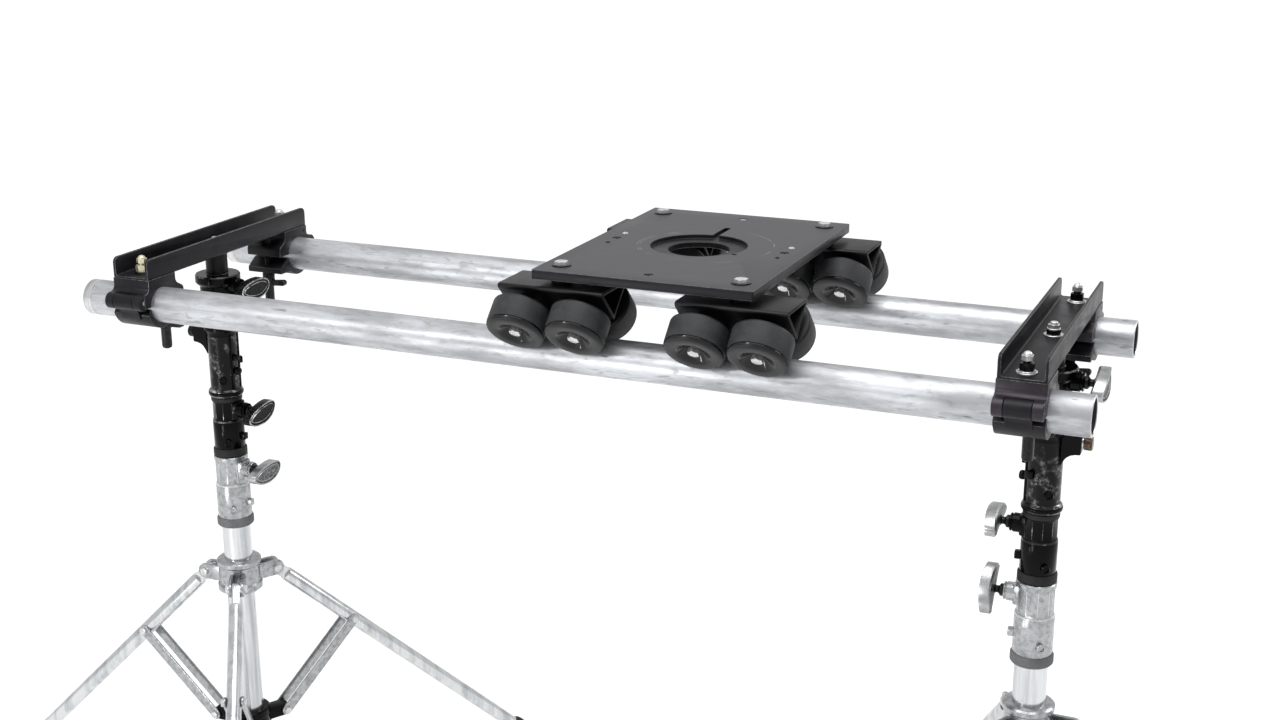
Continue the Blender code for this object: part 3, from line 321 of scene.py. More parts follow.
def toward(direction, centre=(0, 0, 0)):
    """Lay Z along a direction, from a centre."""
    return shift(*centre) @ Vector(direction).to_track_quat("Z", "Y").to_matrix().to_4x4()


# Lay Z along X or Y
TO_X = toward((1, 0, 0))
TO_Y = toward((0, 1, 0))
# Lay an outline of (y, z) points drawn flat along X, or one of (x, z) points along Y
ALONG_X = Matrix(((0, 0, 1, 0), (1, 0, 0, 0), (0, 1, 0, 0), (0, 0, 0, 1)))
ALONG_Y = Matrix(((1, 0, 0, 0), (0, 0, -1, 0), (0, 1, 0, 0), (0, 0, 0, 1)))


# Shapes: each function gives a closed bmesh

def settled(shape):
    """Merge doubles and turn the faces outwards."""
    bmesh.ops.remove_doubles(shape, verts=shape.verts, dist=1e-6)
    bmesh.ops.recalc_face_normals(shape, faces=shape.faces)
    return shape


def painted(shape, finish):
    """Give every face a finish: its place among the materials that piece() is given."""
    for face in shape.faces:
        face.material_index = finish
    return shape


def middles(shape):
    """Each face with the height of its middle and its distance from Z."""
    for face in shape.faces:
        centre = face.calc_center_median() / MM
        yield face, centre.z, centre.xy.length


def raised(shape, faces, rise):
    """Extrude faces upwards and return the new points."""
    grown = bmesh.ops.extrude_face_region(shape, geom=faces)
    ends = [part for part in grown["geom"] if isinstance(part, bmesh.types.BMVert)]
    bmesh.ops.translate(shape, vec=(0, 0, rise * MM), verts=ends)
    return ends


def placed(shape, matrix):
    """Move a shape."""
    bmesh.ops.transform(shape, matrix=matrix, verts=shape.verts)
    return shape


def spun(profile, sides=56, finish=0):
    """Spin a profile of (radius, height) points about Z; a profile that starts off Z is closed."""
    shape = bmesh.new()
    points = [shape.verts.new((radius * MM, 0, height * MM)) for radius, height in profile]
    lines = [shape.edges.new(pair) for pair in zip(points, points[1:])]
    if profile[0][0] > 0:
        lines.append(shape.edges.new((points[-1], points[0])))
    bmesh.ops.spin(shape, geom=points + lines, cent=(0, 0, 0), axis=(0, 0, 1), angle=math.tau,
                   steps=sides, use_merge=True)
    return painted(settled(shape), finish)


def rod(radius, low, high, finish=0, sides=20):
    """A plain round bar about Z, for pins and for cutting holes."""
    return spun([(0, low), (radius, low), (radius, high), (0, high)], sides, finish=finish)


def sleeve(bore, radius, low, high):
    """A plain round tube about Z, chromed as the stands' tubes are."""
    return spun([(bore, low), (radius, low), (radius, high), (bore, high)], finish=1)


def eased(shape, width, segments=1, finish=None, test=None, sharp=40):
    """Bevel the edges that are sharper than an angle and pass a test."""
    edges = [edge for edge in shape.edges
             if edge.is_manifold and edge.calc_face_angle(0) > math.radians(sharp)
             and (test is None or test(edge))]
    made = bmesh.ops.bevel(shape, geom=edges, offset=width * MM, segments=segments, profile=0.5,
                           affect="EDGES", material=-1, clamp_overlap=True)
    if finish is not None:
        for face in made["faces"]:
            face.material_index = finish
    return shape


def at_ends(half):
    """A test for edges that lie at X = half or X = -half."""
    return lambda edge: all(abs(abs(point.co.x) - half * MM) < 1e-5 for point in edge.verts)


def prism(outline, low, high, finish=0, rounding=6):
    """Raise an outline of (x, y) or (x, y, corner radius) points from low to high along Z."""
    shape = bmesh.new()
    points = [shape.verts.new((corner[0] * MM, corner[1] * MM, low * MM)) for corner in outline]
    shape.faces.new(points)
    for point, corner in zip(points, outline):
        if len(corner) == 3:
            bmesh.ops.bevel(shape, geom=[point], offset=corner[2] * MM, segments=rounding,
                            profile=0.5, affect="VERTICES", material=-1)
    raised(shape, shape.faces[:], high - low)
    return painted(settled(shape), finish)


def brick(low, high):
    """A box between two corners."""
    outline = [(low[0], low[1]), (high[0], low[1]), (high[0], high[1]), (low[0], high[1])]
    return prism(outline, low[2], high[2])


def gathered(*shapes):
    """Several shapes as one bmesh."""
    whole = bmesh.new()
    for shape in shapes:
        mesh = bpy.data.meshes.new("gathered")
        shape.to_mesh(mesh)
        shape.free()
        whole.from_mesh(mesh)
        bpy.data.meshes.remove(mesh)
    return whole


def carved(shape, *cutters, operation="DIFFERENCE"):
    """Apply exact booleans to a shape."""
    for cutter in cutters:
        items = []
        for source in (shape, cutter):
            mesh = bpy.data.meshes.new("carving")
            source.to_mesh(mesh)
            source.free()
            items.append(linked("carving", mesh))
        modifier = items[0].modifiers.new("carve", "BOOLEAN")
        modifier.operation = operation
        modifier.solver = "EXACT"
        modifier.object = items[1]
        graph = bpy.context.evaluated_depsgraph_get()
        result = bpy.data.meshes.new_from_object(items[0].evaluated_get(graph))
        shape = bmesh.new()
        shape.from_mesh(result)
        for item in items:
            bpy.data.objects.remove(item, do_unlink=True)
        bpy.data.meshes.remove(result)
        settled(shape)
    return shape


def arc(radius, start, end, steps, centre=(0, 0)):
    """Points on an arc in degrees, both ends included."""
    angles = [math.radians(start + (end - start) * step / steps) for step in range(steps + 1)]
    return [(centre[0] + radius * math.cos(a), centre[1] + radius * math.sin(a)) for a in angles]


def hexagon(across, low, high, finish=0):
    """A hex nut or bolt head about Z with chamfered corners, its size across the flats."""
    block = prism(arc(across / 2 / math.cos(math.pi / 6), 30, 330, 5), low, high)
    crown = spun([(0, low - 1), (across / 2 + 3, low - 1), (across / 2 + 3, high - 1.6),
                  (across / 2 - 0.4, high + 0.2), (0, high + 0.2)], 32)
    return painted(carved(block, crown, operation="INTERSECT"), finish)


def disc(radius, low, high, finish=0, sides=32, edge=0.4):
    """A washer-like disc with eased rims."""
    return spun([(0, low), (radius - edge, low), (radius, low + edge), (radius, high - edge),
                 (radius - edge, high), (0, high)], sides, finish=finish)


def dome(radius, base, height, finish=0):
    """A round head standing at a height."""
    steps = [math.radians(angle) for angle in (0, 25, 50, 75)]
    rim = [(radius * math.cos(a), base + height * math.sin(a)) for a in steps]
    return spun([(0, base - 1), (radius, base - 1), *rim, (0, base + height)], 20, finish=finish)


def threads(radius, low, high, pitch, finish=0):
    """A threaded shank drawn as close rings."""
    profile = [(0, low)]
    level = low
    while level + pitch <= high + 1e-6:
        profile += [(radius - pitch * 0.35, level), (radius, level + pitch * 0.4),
                    (radius, level + pitch * 0.6)]
        level += pitch
    profile += [(radius - pitch * 0.35, high), (0, high)]
    return spun(profile, 24, finish=finish)


def piece(node, shape, matrix, materials):
    """Stand a finished mesh in the place of a solid, riding on the same body."""
    mesh = bpy.data.meshes.new(node + "_finished")
    shape.to_mesh(mesh)
    mesh.transform(matrix)
    for material in materials:
        mesh.materials.append(material)
    mesh.shade_smooth()
    mesh.set_sharp_from_angle(angle=SMOOTH_BELOW)
    item = linked(node + "_finished", mesh)
    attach(item, BODY_OF[node])
    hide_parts(node)


# Rails

def rail():
    """A pipe along X with deburred ends and a groove turned near the left one."""
    burr, band, groove = 0.7, 13 - RAIL_HALF, RAIL_RADIUS - 0.5
    tube = spun([(RAIL_BORE, -RAIL_HALF + burr), (RAIL_BORE + burr, -RAIL_HALF),
                 (RAIL_RADIUS - burr, -RAIL_HALF), (RAIL_RADIUS, -RAIL_HALF + burr),
                 (RAIL_RADIUS, band), (groove, band + 0.4), (groove, band + 0.9),
                 (RAIL_RADIUS, band + 1.3), (RAIL_RADIUS, RAIL_HALF - burr),
                 (RAIL_RADIUS - burr, RAIL_HALF), (RAIL_BORE + burr, RAIL_HALF),
                 (RAIL_BORE, RAIL_HALF - burr)], 72)
    for face, level, reach in middles(tube):
        if abs(level) > RAIL_HALF - burr - 0.05:
            face.material_index = 1
        elif level < band + 1 and reach > RAIL_BORE + 2:
            face.material_index = 3
        # Painted shade: the bore's faces take the dark bore finish.
        elif reach < RAIL_BORE + 1:
            face.material_index = 2
    return placed(tube, TO_X)


# Platform and trucks

def platform():
    """The plate with its stepped seat, keyway and holes; Z = 0 is its underside."""
    x, y, top = PLATFORM_SIZE
    plate = prism([(-x / 2, -y / 2, 2), (x / 2, -y / 2, 2), (x / 2, y / 2, 2), (-x / 2, y / 2, 2)],
                  0, top)
    # Painted shade: the plate's sides take the darker anodised finish, darker than the top.
    for face in plate.faces:
        if abs(face.normal.z) < 0.5:
            face.material_index = 2
    eased(plate, 0.9, 2, 1)
    # The seat, bore, keyway and screw holes are cut with the darker anodised finish: painted shade
    # in these recesses.
    seat = spun([(0, top - 5), (60.9, top - 5), (61.5, top - 4.4), (61.5, top - 0.7),
                 (62.4, top + 0.2), (62.4, top + 2), (0, top + 2)], 128, finish=2)
    ridges = [(0, -2), (40, -2), (40, 0)]
    for level in (0.6, 2.0, 3.4, 4.8):
        ridges += [(39.2, level), (40.1, level + 0.7)]
    ridges += [(39.2, top - 5.6), (40.2, top - 4.6), (40.2, top - 4), (0, top - 4)]
    bore = spun(ridges, 128, finish=2)
    keyway = prism([(-4.25, 58), (4.25, 58), (4.25, 108, 4.1), (-4.25, 108, 4.1)], top - 4.5,
                   top + 2, finish=2)
    plate = carved(plate, seat, bore, keyway)
    end, side = y / 2 - 28, x / 2 - 27
    sunk = ((0, -end, 4), (0, end, 3), (-side, 0, 4), (side, 0, 4))
    capped = ((-side, 28, 3), (side, 28, 3), (-side, -28, 4), (side, -28, 4))
    plain = [(0, -1), (3, -1), (3, top - 0.5), (3.6, top + 0.1), (3.6, top + 1), (0, top + 1)]
    cone = [(0, -1), (3, -1), (3, top - 3), (6.2, top + 0.2), (6.2, top + 1), (0, top + 1)]
    for profile, spots in ((cone, sunk), (plain, (*capped, (58.5, -30.75, 4)))):
        for across, along, finish in spots:
            plate = carved(plate, placed(spun(profile, 20, finish=2), shift(across, along, 0)))
    for across in (-TRUCK_SPACING / 2, TRUCK_SPACING / 2):
        for along in (-GAUGE / 2, GAUGE / 2):
            plate = carved(plate, placed(rod(6.5, -1, top + 1), shift(across, along, 0)))
    parts = [plate]
    for across, along, finish in sunk:
        screw = spun([(0, 1), (2.7, 1), (2.7, top - 3.2), (5, top - 0.9), (2, top - 0.9),
                      (1.6, top - 2.4), (0, top - 2.4)], 20, finish=finish)
        parts.append(placed(screw, shift(across, along, 0)))
    for across, along, finish in capped:
        screw = gathered(rod(2.7, 2, top, finish),
                         dome(3.9 if finish == 3 else 2.6, top, 1.5, finish))
        parts.append(placed(screw, shift(across, along, 0)))
    return gathered(*parts)


def axle(side, row):
    """A wheel's middle and the outward direction of its axle, in a truck's own place."""
    slope = math.sqrt(0.5)
    reach = (RAIL_RADIUS + WHEEL_RADIUS + WHEEL_GAP) * slope
    inset = AXLE_INSET * slope
    centre = Vector((side * WHEEL_PITCH / 2, row * (reach - inset), reach + inset))
    return centre, Vector((0, row * slope, -slope))


def truck():
    """A V-shaped truck of bent plate with its kingpin and axles; Z = 0 is the rail's axis."""
    wall, half, top = 4.5, 41, TRUCK_TOP
    outer = [(0, TRUCK_APEX, 1.2), (half, top, 10.2), (-half, top, 10.2)]
    inner = [(0, TRUCK_APEX + wall * 1.414, 0.6), (half - wall * 2.414, top - wall, 1.5),
             (-half + wall * 2.414, top - wall, 1.5)]
    shell = carved(placed(prism(outer, -TRUCK_HALF, TRUCK_HALF), ALONG_X),
                   placed(prism(inner, -TRUCK_HALF - 3, TRUCK_HALF + 3), ALONG_X))
    eased(shell, 0.6, 2, 0, at_ends(TRUCK_HALF))
    # Painted shade: the cut ends facing along X take the darker end finish.
    for face in shell.faces:
        if abs(face.normal.x) > 0.9:
            face.material_index = 1
    parts = [shell]
    root = AXLE_INSET - TRUCK_APEX * math.sqrt(0.5) - 1.2
    for side in (-1, 1):
        for row in (-1, 1):
            centre, direction = axle(side, row)
            wheel_set = gathered(
                spun([(0, root), (9, root), (9, -17), (8, -15.4), (0, -15.4)], 32, finish=3),
                disc(4.1, -16, 9, 3, 20), disc(8.4, 8.3, 11, 3), hexagon(13, 10.9, 17.6, 2))
            parts.append(placed(wheel_set, toward(direction, centre)))
    # Painted shade: the black washer under the zinc kingpin head, wider than the head, stands for
    # the dark ring of shade around it.
    parts += [disc(13, top - 1, top + 7.5, 3), disc(6, top + 7, top + 20.2, 3, 24),
              disc(12, top + 20.1, top + 21.3, 3, 40), hexagon(14.7, top + 21.2, top + 25.3, 2)]
    return gathered(*parts)


def wheel():
    """A wheel about Z, outer face up: tread, moulded bead, rounded shoulder and shiny hub cone."""
    profile = [(4.9, -15), (13, -15), (13, -18), (13.5, -18.5), (33.4, -18.5), (35.2, -18),
               (36.4, -16.9), (37, -15), (37, 11.6), (36.9, 12), (36.2, 12.4), (36.1, 12.8),
               (36.7, 13.2), (36.8, 13.7), (36.6, 14.2), (36.2, 15.6), (35.2, 17.1), (33.6, 18.1),
               (31.6, 18.5), (22.4, 18.4), (21.6, 17.9), (20, 16), (4.9, 4)]
    tread = spun(profile, 72)
    for face, level, reach in middles(tread):
        # Painted shade: the bead's groove takes the dark hub finish.
        if 12 < level < 14 and reach > 35:
            face.material_index = 1
        # The side walls take the cheek finish: clean urethane, darker partly as painted shade.
        elif abs(level) > 14:
            face.material_index = 2
    # Painted shade: the hub cone's recess takes the dark hub finish.
    cone = spun([(4.9, 6), (10.4, 6.6), (19.6, 15.6), (21.7, 18), (21.2, 18.2), (20.2, 17.6),
                 (18.9, 16.6), (10.2, 8.1), (4.9, 8.0)], 72, finish=1)
    return gathered(tread, cone)


# Track ends

def channel():
    """The U channel of a track end, flanges up, with rounded flange corners."""
    half, wall, low, high = 28, CHANNEL_WALL, WEB_RISE, CHANNEL_TOP
    section = [(-half, low, 3.5), (half, low, 3.5), (half, high), (half - wall, high),
               (half - wall, low + wall, 2.5), (-half + wall, low + wall, 2.5),
               (-half + wall, high), (-half, high)]
    strip = placed(prism(section, -CHANNEL_HALF - 2, CHANNEL_HALF + 2, rounding=5), ALONG_Y)
    side = [(CHANNEL_HALF, low - 7), (CHANNEL_HALF, high, 8), (-CHANNEL_HALF, high, 8),
            (-CHANNEL_HALF, low - 7)]
    strip = carved(strip, placed(prism(side, -half - 7, half + 7, rounding=8), ALONG_X),
                   operation="INTERSECT")
    return eased(strip, 0.55, 2, 1, lambda edge: (
        all(point.co.z > (high - 9) * MM for point in edge.verts)
        or all(abs(point.co.y) > (CHANNEL_HALF - 0.1) * MM for point in edge.verts)))


def nut_stack(brassy):
    """Flanged washer, dark nut, bolt end and acorn nut standing on the channel's web."""
    washer, metal, middle_metal = (3, 4, 4) if brassy else (2, 2, 3)
    base = WEB_RISE + CHANNEL_WALL
    return gathered(disc(12.2, base - 0.5, base + 1.6, washer, 40),
                    disc(10, base + 1.4, base + 3, washer),
                    hexagon(15.5, base + 3, base + 11.5, middle_metal),
                    threads(4.9, base + 11, base + 15, 1, middle_metal),
                    hexagon(12.6, base + 14.6, base + 20.4, metal),
                    dome(5.4, base + 20.4, 4.5, metal))


def saddle():
    """The upper clamp half over a rail; the hinge is toward -Y."""
    outline = [(-26, 38.5), (-26, 21, 8), (-37, 21), (-37, 1.2), (0, 1.2), (0, 3), (47, 3, 1.5),
               (47, 16, 4), (31, 25, 5), (31, 38.5)]
    block = placed(prism(outline, -CLAMP_HALF, CLAMP_HALF, 5, rounding=7), ALONG_X)
    hinge = (0, -HINGE[0], HINGE[1])
    bore = placed(rod(CLAMP_BORE, -40, 40, 5, 72), TO_X)
    slot = placed(rod(6.2, -5, 45, 5, 24), shift(0, SCREW_OFFSET, 0))
    room = placed(rod(CLAMP_BARREL + 0.6, -15.8, 15.8, 5, 48), shift(*hinge) @ TO_X)
    block = eased(carved(block, bore, slot, room), 0.7, 2, 1, at_ends(CLAMP_HALF))
    parts = [block, placed(rod(3, -28, 28, 2), shift(*hinge) @ TO_X)]
    for side in (-1, 1):
        barrel = spun([(0, 15.8), (10.4, 15.8), (CLAMP_BARREL, 16.4), (CLAMP_BARREL, 27.6),
                       (10.2, 28.4), (4.2, 28.4), (4.2, 27.4), (0, 27.4)], 48, finish=5)
        parts.append(placed(barrel, toward((side, 0, 0), hinge)))
        rivet = disc(2.3, CLAMP_HALF - 0.4, CLAMP_HALF + 0.4, 3, 16, 0.2)
        parts.append(placed(rivet, toward((side, 0, 0), (0, -20, 31))))
    return gathered(*parts)


def track_end(brassy_front):
    """Channel, saddles, nuts, centre bolt and the post and spigot that stand in a receiver."""
    parts = [channel()]
    for row in (-1, 1):
        spot = shift(0, row * GAUGE / 2, 0)
        parts.append(placed(saddle(), spot @ facing(row)))
        parts.append(placed(nut_stack(brassy_front and row < 0), spot))
    post = spun([(0, 4.3), (14.7, 4.3), (15.5, 5.1), (15.5, 33), (18, 36.6), (18, 38.5),
                 (0, 38.5)])
    spigot = spun([(0, -65.7), (12.5, -65.7), (14, -64), (14, -30), (12.8, -28), (12.8, -20),
                   (14, -18), (14, 6), (0, 6)], 48, finish=2)
    bolt_end = spun([(0, 54), (4.6, 54), (4.6, 56.4), (4, 57), (0, 57)], 20, finish=2)
    return gathered(*parts, disc(12, 40.5, 42.2, 2, 48), hexagon(15.5, 42, 48, 3),
                    disc(8.4, 47.8, 49.6, 2, 40), hexagon(13, 49.4, 54.2, 2), bolt_end, post,
                    spigot)


def jaw():
    """The lower clamp half; its origin is on the hinge pin, the rail toward +Y."""
    outline = [(-24.4, -1.2), (0, -1.2), (0, -3), (28.4, -3), (47, -15), (47, -23, 1.5),
               (28.4, -23), *arc(31.95, -50, -163, 20)]
    shell = placed(prism(outline, -CLAMP_HALF, CLAMP_HALF, rounding=5), ALONG_X)
    bore = placed(rod(CLAMP_BORE, -40, 40, sides=72), TO_X)
    slot = placed(rod(4.9, -30, 5, sides=24), shift(0, SCREW_OFFSET, 0))
    shell = eased(carved(shell, bore, slot), 0.8, 2, 1, at_ends(CLAMP_HALF))
    placed(shell, shift(0, HINGE[0], -HINGE[1]))
    barrel = spun([(3.4, -15.5), (10.4, -15.5), (CLAMP_BARREL, -14.9), (CLAMP_BARREL, 14.9),
                   (10.4, 15.5), (3.4, 15.5)], 48)
    arm = [(-10.7, 0), *arc(31.95, -170, -150, 6, (34, -10)),
           *arc(25.95, -150, -178, 6, (37, -10))]
    strap = eased(placed(prism(arm, -15.2, 15.2), ALONG_X), 0.5, 1)
    strap = carved(strap, placed(rod(3.4, -20, 20), TO_X))
    return gathered(shell, placed(barrel, TO_X), strap)


def clamp_screw():
    """A wing nut on its long stud, about Z; Z = 0 is the rail's axis."""
    parts = [threads(4.4, -23.5, 14, 1.25),
             spun([(0, -74.7), (4.2, -74.7), (6.2, -73.4), (7, -70.8), (7, -47), (7.6, -44.7),
                   (9, -42), (9, -25), (8, -23.4), (0, -23.4)], 40)]
    for side in (-1, 1):
        outline = [(side * 7, -43.4), (side * 7, -35.6), (side * 18, -34.4, 3),
                   (side * 29.8, -33.6, 4.3), (side * 29.8, -42.3, 4.3), (side * 18, -42.6, 3)]
        parts.append(eased(placed(prism(outline, -4, 4), ALONG_Y), 1.6, 3, 1))
    return gathered(*parts)


# Stands

def boss(inner, outer, level, finish, angle=0):
    """A clamp boss standing out along +X, with a lock ring at its mouth."""
    bore, radius = 5.4, 12
    shape = spun([(bore, inner), (radius - 1, inner), (radius, inner + 1), (radius, outer - 4.2),
                  (radius - 1.6, outer - 3.4), (radius - 1.6, outer - 2.6),
                  (radius - 0.6, outer - 2), (radius - 0.6, outer - 0.6), (radius - 1.4, outer),
                  (bore, outer)], 40, finish=finish)
    return placed(shape, around(angle) @ shift(0, 0, level) @ TO_X)


def set_screws(radius, level, finish, angle=-59):
    """Two opposite cast bosses with socket screws in them, standing out of a collar."""
    size = 5.6
    screws = []
    for turn in (angle, angle + 180):
        shape = spun([(0, radius - 2), (size, radius - 2), (size, radius + 3.4),
                      (size - 1, radius + 4.6), (size - 2, radius + 4.8),
                      (size - 2.4, radius + 3), (0, radius + 3)], 28, finish=finish)
        screws.append(placed(shape, around(turn) @ shift(0, 0, level) @ TO_X))
    return screws


def stop_block(angle, radius, level, finish, size=(5, 5)):
    """A squared cast stop on the side of a collar."""
    wide, high = size
    block = brick((radius - 3, -wide, level - high), (radius + 6.5, wide, level + high))
    return placed(eased(painted(block, finish), 1.3, 2), around(angle))


def clamp_pad(radius, low, high, finish):
    """The flat cheek of a collar that its clamp screw passes through."""
    outline = [(radius - 8, -13, 2), (radius + 4, -10.5, 3), (radius + 4, 10.5, 3),
               (radius - 8, 13, 2)]
    return eased(prism(outline, low, high, finish), 1.8, 2)


def collar(bore, radius, seat, top, finish, band, worn):
    """A cast clamp collar: round skirt, step and a ten-sided neck under a rubber band; the step and
    the neck's edges are painted bright as highlights.
    """
    step = seat + (top - seat) * 0.56
    skirt = spun([(bore, seat), (radius - 0.6, seat), (radius, seat + 1), (radius, step - 3),
                  (radius - 0.8, step - 0.8), (radius - 2.6, step), (bore, step)], finish=finish)
    # Painted highlight: the top of the skirt's step takes the bright step finish.
    for face, level, _ in middles(skirt):
        if level > step - 2.6:
            face.material_index = worn
    neck = spun([(bore, step - 2), (radius - 0.9, step - 2), (radius - 1.5, step + 2),
                 (radius - 1.5, top - 9.5), (radius - 0.7, top - 8), (radius - 0.7, top - 6),
                 (bore, top - 6)], 10, finish=finish)
    # Painted highlight: the neck's facet edges are eased in the bright step finish.
    eased(neck, 0.5, 1, worn, lambda edge: all(
        step + 1 < point.co.z / MM < top - 9 and point.co.xy.length > (bore + 1) * MM
        for point in edge.verts), 30)
    lip = spun([(bore, top - 6.6), (radius - 0.3, top - 6.6), (radius, top - 5.6),
                (radius, top - 1), (radius - 1, top), (bore, top)], finish=band)
    return [skirt, neck, lip]


def crown_ears():
    """Three pairs of cheeks on a crown, each with its leg's pin and hex heads."""
    low, high, eye = CROWN_PIN - 12, CROWN_PIN + 12, 11.6
    parts = []
    for count in range(3):
        heading = around(180 + 120 * count)
        for side, inner, outer in ((-1, -11.3, -6.3), (1, 6.3, 11.3)):
            cheek = prism([(27, low), (68, low, eye), (68, high, eye), (27, high)], inner, outer,
                          finish=3)
            parts.append(placed(eased(placed(cheek, ALONG_Y), 0.8, 2), heading))
            head = placed(hexagon(11, 11.2, 15.6, 4),
                          toward((0, side, 0), (LEG_PIN_OFFSET, 0, CROWN_PIN)))
            parts.append(placed(head, heading))
        pin = placed(rod(4, -12, 12, 4), shift(LEG_PIN_OFFSET, 0, CROWN_PIN) @ TO_Y)
        parts.append(placed(pin, heading))
    return parts


def column():
    """The outer tube, crown and silver clamp collar; heights are above the floor."""
    base, seat, top = 40, COLLAR_SEAT, COLUMN_TOP
    high = CROWN_PIN + 31
    low = high - 52
    foot = spun([(19.2, base), (21.6, base), (22, base + 1), (22, base + 12), (21.2, base + 13),
                 (19.2, base + 13)], finish=2)
    crown = spun([(20.5, low), (31, low), (33, low + 2), (33, low + 10), (30.5, low + 13),
                  (30.5, high - 13), (33, high - 10), (33, high - 4), (30, high - 1.5),
                  (24, high), (20.5, high)], finish=3)
    bead = spun([(20.5, seat), (25.5, seat), (27, seat + 2), (27, seat + 11), (25.6, seat + 13.5),
                 (20.5, seat + 13.5)], finish=5)
    level = top - SCREW_DROP
    return gathered(sleeve(19, 21, base, top - 1), foot, crown, bead,
                    *collar(19.4, 25, seat + 13, top, 3, 3, 4),
                    clamp_pad(23, level - 13, level + 13, 3), boss(21.5, 39, level, 3),
                    *set_screws(25, seat + 29, 3), stop_block(4, 25, seat + 36, 3),
                    *crown_ears())


def riser():
    """The middle tube and its black clamp collar."""
    seat, top = RISER_SEAT, RISER_TOP
    bead = spun([(16.5, seat), (23, seat), (24.5, seat + 2), (24.5, seat + 10), (23, seat + 12.5),
                 (16.5, seat + 12.5)], finish=2)
    level = top - SCREW_DROP
    return gathered(sleeve(16.3, 18.7, seat - 540, seat + 2), bead,
                    *collar(16.5, 22.5, seat + 12, top, 0, 2, 3),
                    clamp_pad(20.5, level - 13, level + 13, 0), boss(19.5, 36.5, level, 0),
                    *set_screws(22.5, seat + 23, 0), stop_block(4, 22.5, seat + 30, 0))


def receiver(handle_angle):
    """The upper tube and socket casting, with its lug toward -X."""
    seat, rim, top, neck = RECEIVER_SEAT, RIM_LEVEL, RIM_LEVEL + 12, RECEIVER_SEAT + 92
    bead = spun([(14.5, seat), (22.6, seat), (24, seat + 1), (25.3, seat + 3.4), (25.5, seat + 6),
                 (24.8, seat + 8.6), (23.4, seat + 10.6), (22, seat + 12), (14.5, seat + 12)])
    # Painted highlight: the bead's upper and lower rounds take the bright step finish.
    for face, level, _ in middles(bead):
        if not seat + 3 < level < seat + 9:
            face.material_index = 2
    casting = spun([(14.4, seat + 11), (21.5, seat + 11), (21.5, neck), (23, neck + 6),
                    (26, neck + 10), (26, rim - 5), (30, rim - 2), (32, rim + 1), (32, top - 2),
                    (30.6, top), (17, top), (14.4, top - 2)], 64)
    for face, level, reach in middles(casting):
        # Painted glints: the casting below the neck takes the pale-clumped finish.
        if level < neck + 2 and reach > 20:
            face.material_index = 4
        # Painted highlight along the outer edge of the top rim.
        elif level > top - 1.9 and reach > 31:
            face.material_index = 2
    low = neck - 18
    lug = [(-20, low - 11), (-22.5, low - 6), (-26, low - 0.5), (-31, low + 3.2), (-37, low + 4.8),
           (-43, low + 5, 2), (-43, low + 35, 5), (-27, low + 76, 10), (-20, low + 76)]
    fin = eased(placed(prism(lug, -11, 11, rounding=5), ALONG_Y), 2.2, 3)
    knob = spun([(0, 45), (8, 45), (9, 46), (9, 53.6), (7.8, 55), (0, 55)], 18, finish=3)
    bolt = placed(gathered(disc(8.4, 42.4, 45.2, 1, 40), knob), toward((-1, 0, 0), (0, 0, neck)))
    seams = [placed(eased(brick((19, -1.4, seat + 12), (23.4, 1.4, neck + 4)), 0.8, 2),
                    around(angle)) for angle in (24, -24)]
    head = spun([(0, 23.6), (5.2, 23.6), (6, 25), (6, 27.6), (5, 29.6), (2.4, 30.6), (0, 30.8)],
                28)
    peg = placed(gathered(disc(5, 18, 24, 0, 20), head),
                 around(-8) @ shift(0, 0, seat + 40) @ TO_X)
    return gathered(sleeve(14.3, 16, seat - 600, seat + 2), bead, casting, fin, bolt, *seams,
                    *set_screws(21.5, seat + 27, 0, -62), stop_block(56, 21, seat + 50, 0, (4, 5)),
                    stop_block(-10, 21.5, seat + 60, 0, (4, 4)), peg,
                    boss(24, 40, rim - 5, 0, handle_angle))


def handle(tip, boss_end):
    """A clamp screw along +X with its oval cast handle, long across Y."""
    face, half, sag = boss_end + 14, 33, 4
    screw = threads(4.9, tip, boss_end + 2, 1.4, 1)
    stem = spun([(0, boss_end + 0.3), (7.2, boss_end + 0.3), (8, boss_end + 1.2),
                 (8, boss_end + 4.4), (6.2, boss_end + 5.4), (4.6, boss_end + 7), (4.6, face - 4),
                 (6.6, face - 2.4), (7.4, face + 0.6), (0, face + 0.6)], 32, finish=1)
    oval = bmesh.new()
    base = bmesh.ops.create_circle(oval, cap_ends=True, segments=56, radius=1)["verts"]
    bmesh.ops.scale(oval, vec=(30 * MM, 12 * MM, 1), verts=base)
    for growth, rise in (((1.1, 1.2, 1), 2.5), ((1, 1, 1), 12.5)):
        top = max(oval.faces, key=lambda f: (len(f.verts) > 9) * (1 + f.calc_center_median().z))
        bmesh.ops.scale(oval, vec=growth, verts=raised(oval, [top], rise))
    eased(settled(oval), 1.6, 3, 3)
    for inset, depth, finish in ((1.6, 0.0, 3), (0.9, -1.8, 2), (1.6, 0.0, 2), (0.7, 1.0, 3),
                                 (0.8, 0.0, 3), (0.6, -0.8, 2)):
        top = max(oval.faces, key=lambda f: (f.normal.z > 0.9) * f.calc_area())
        step = bmesh.ops.inset_region(oval, faces=[top], thickness=inset * MM,
                                      depth=depth * MM, use_even_offset=True)
        for near in step["faces"]:
            near.material_index = finish
        top.material_index = 2
    for near, level, _ in middles(oval):
        if level < 1:
            near.material_index = 2
    for point in oval.verts:
        point.co.z -= sag * MM * (point.co.x / (half * MM)) ** 2
    return placed(gathered(screw, stem, placed(oval, shift(0, 0, face))), TO_X)


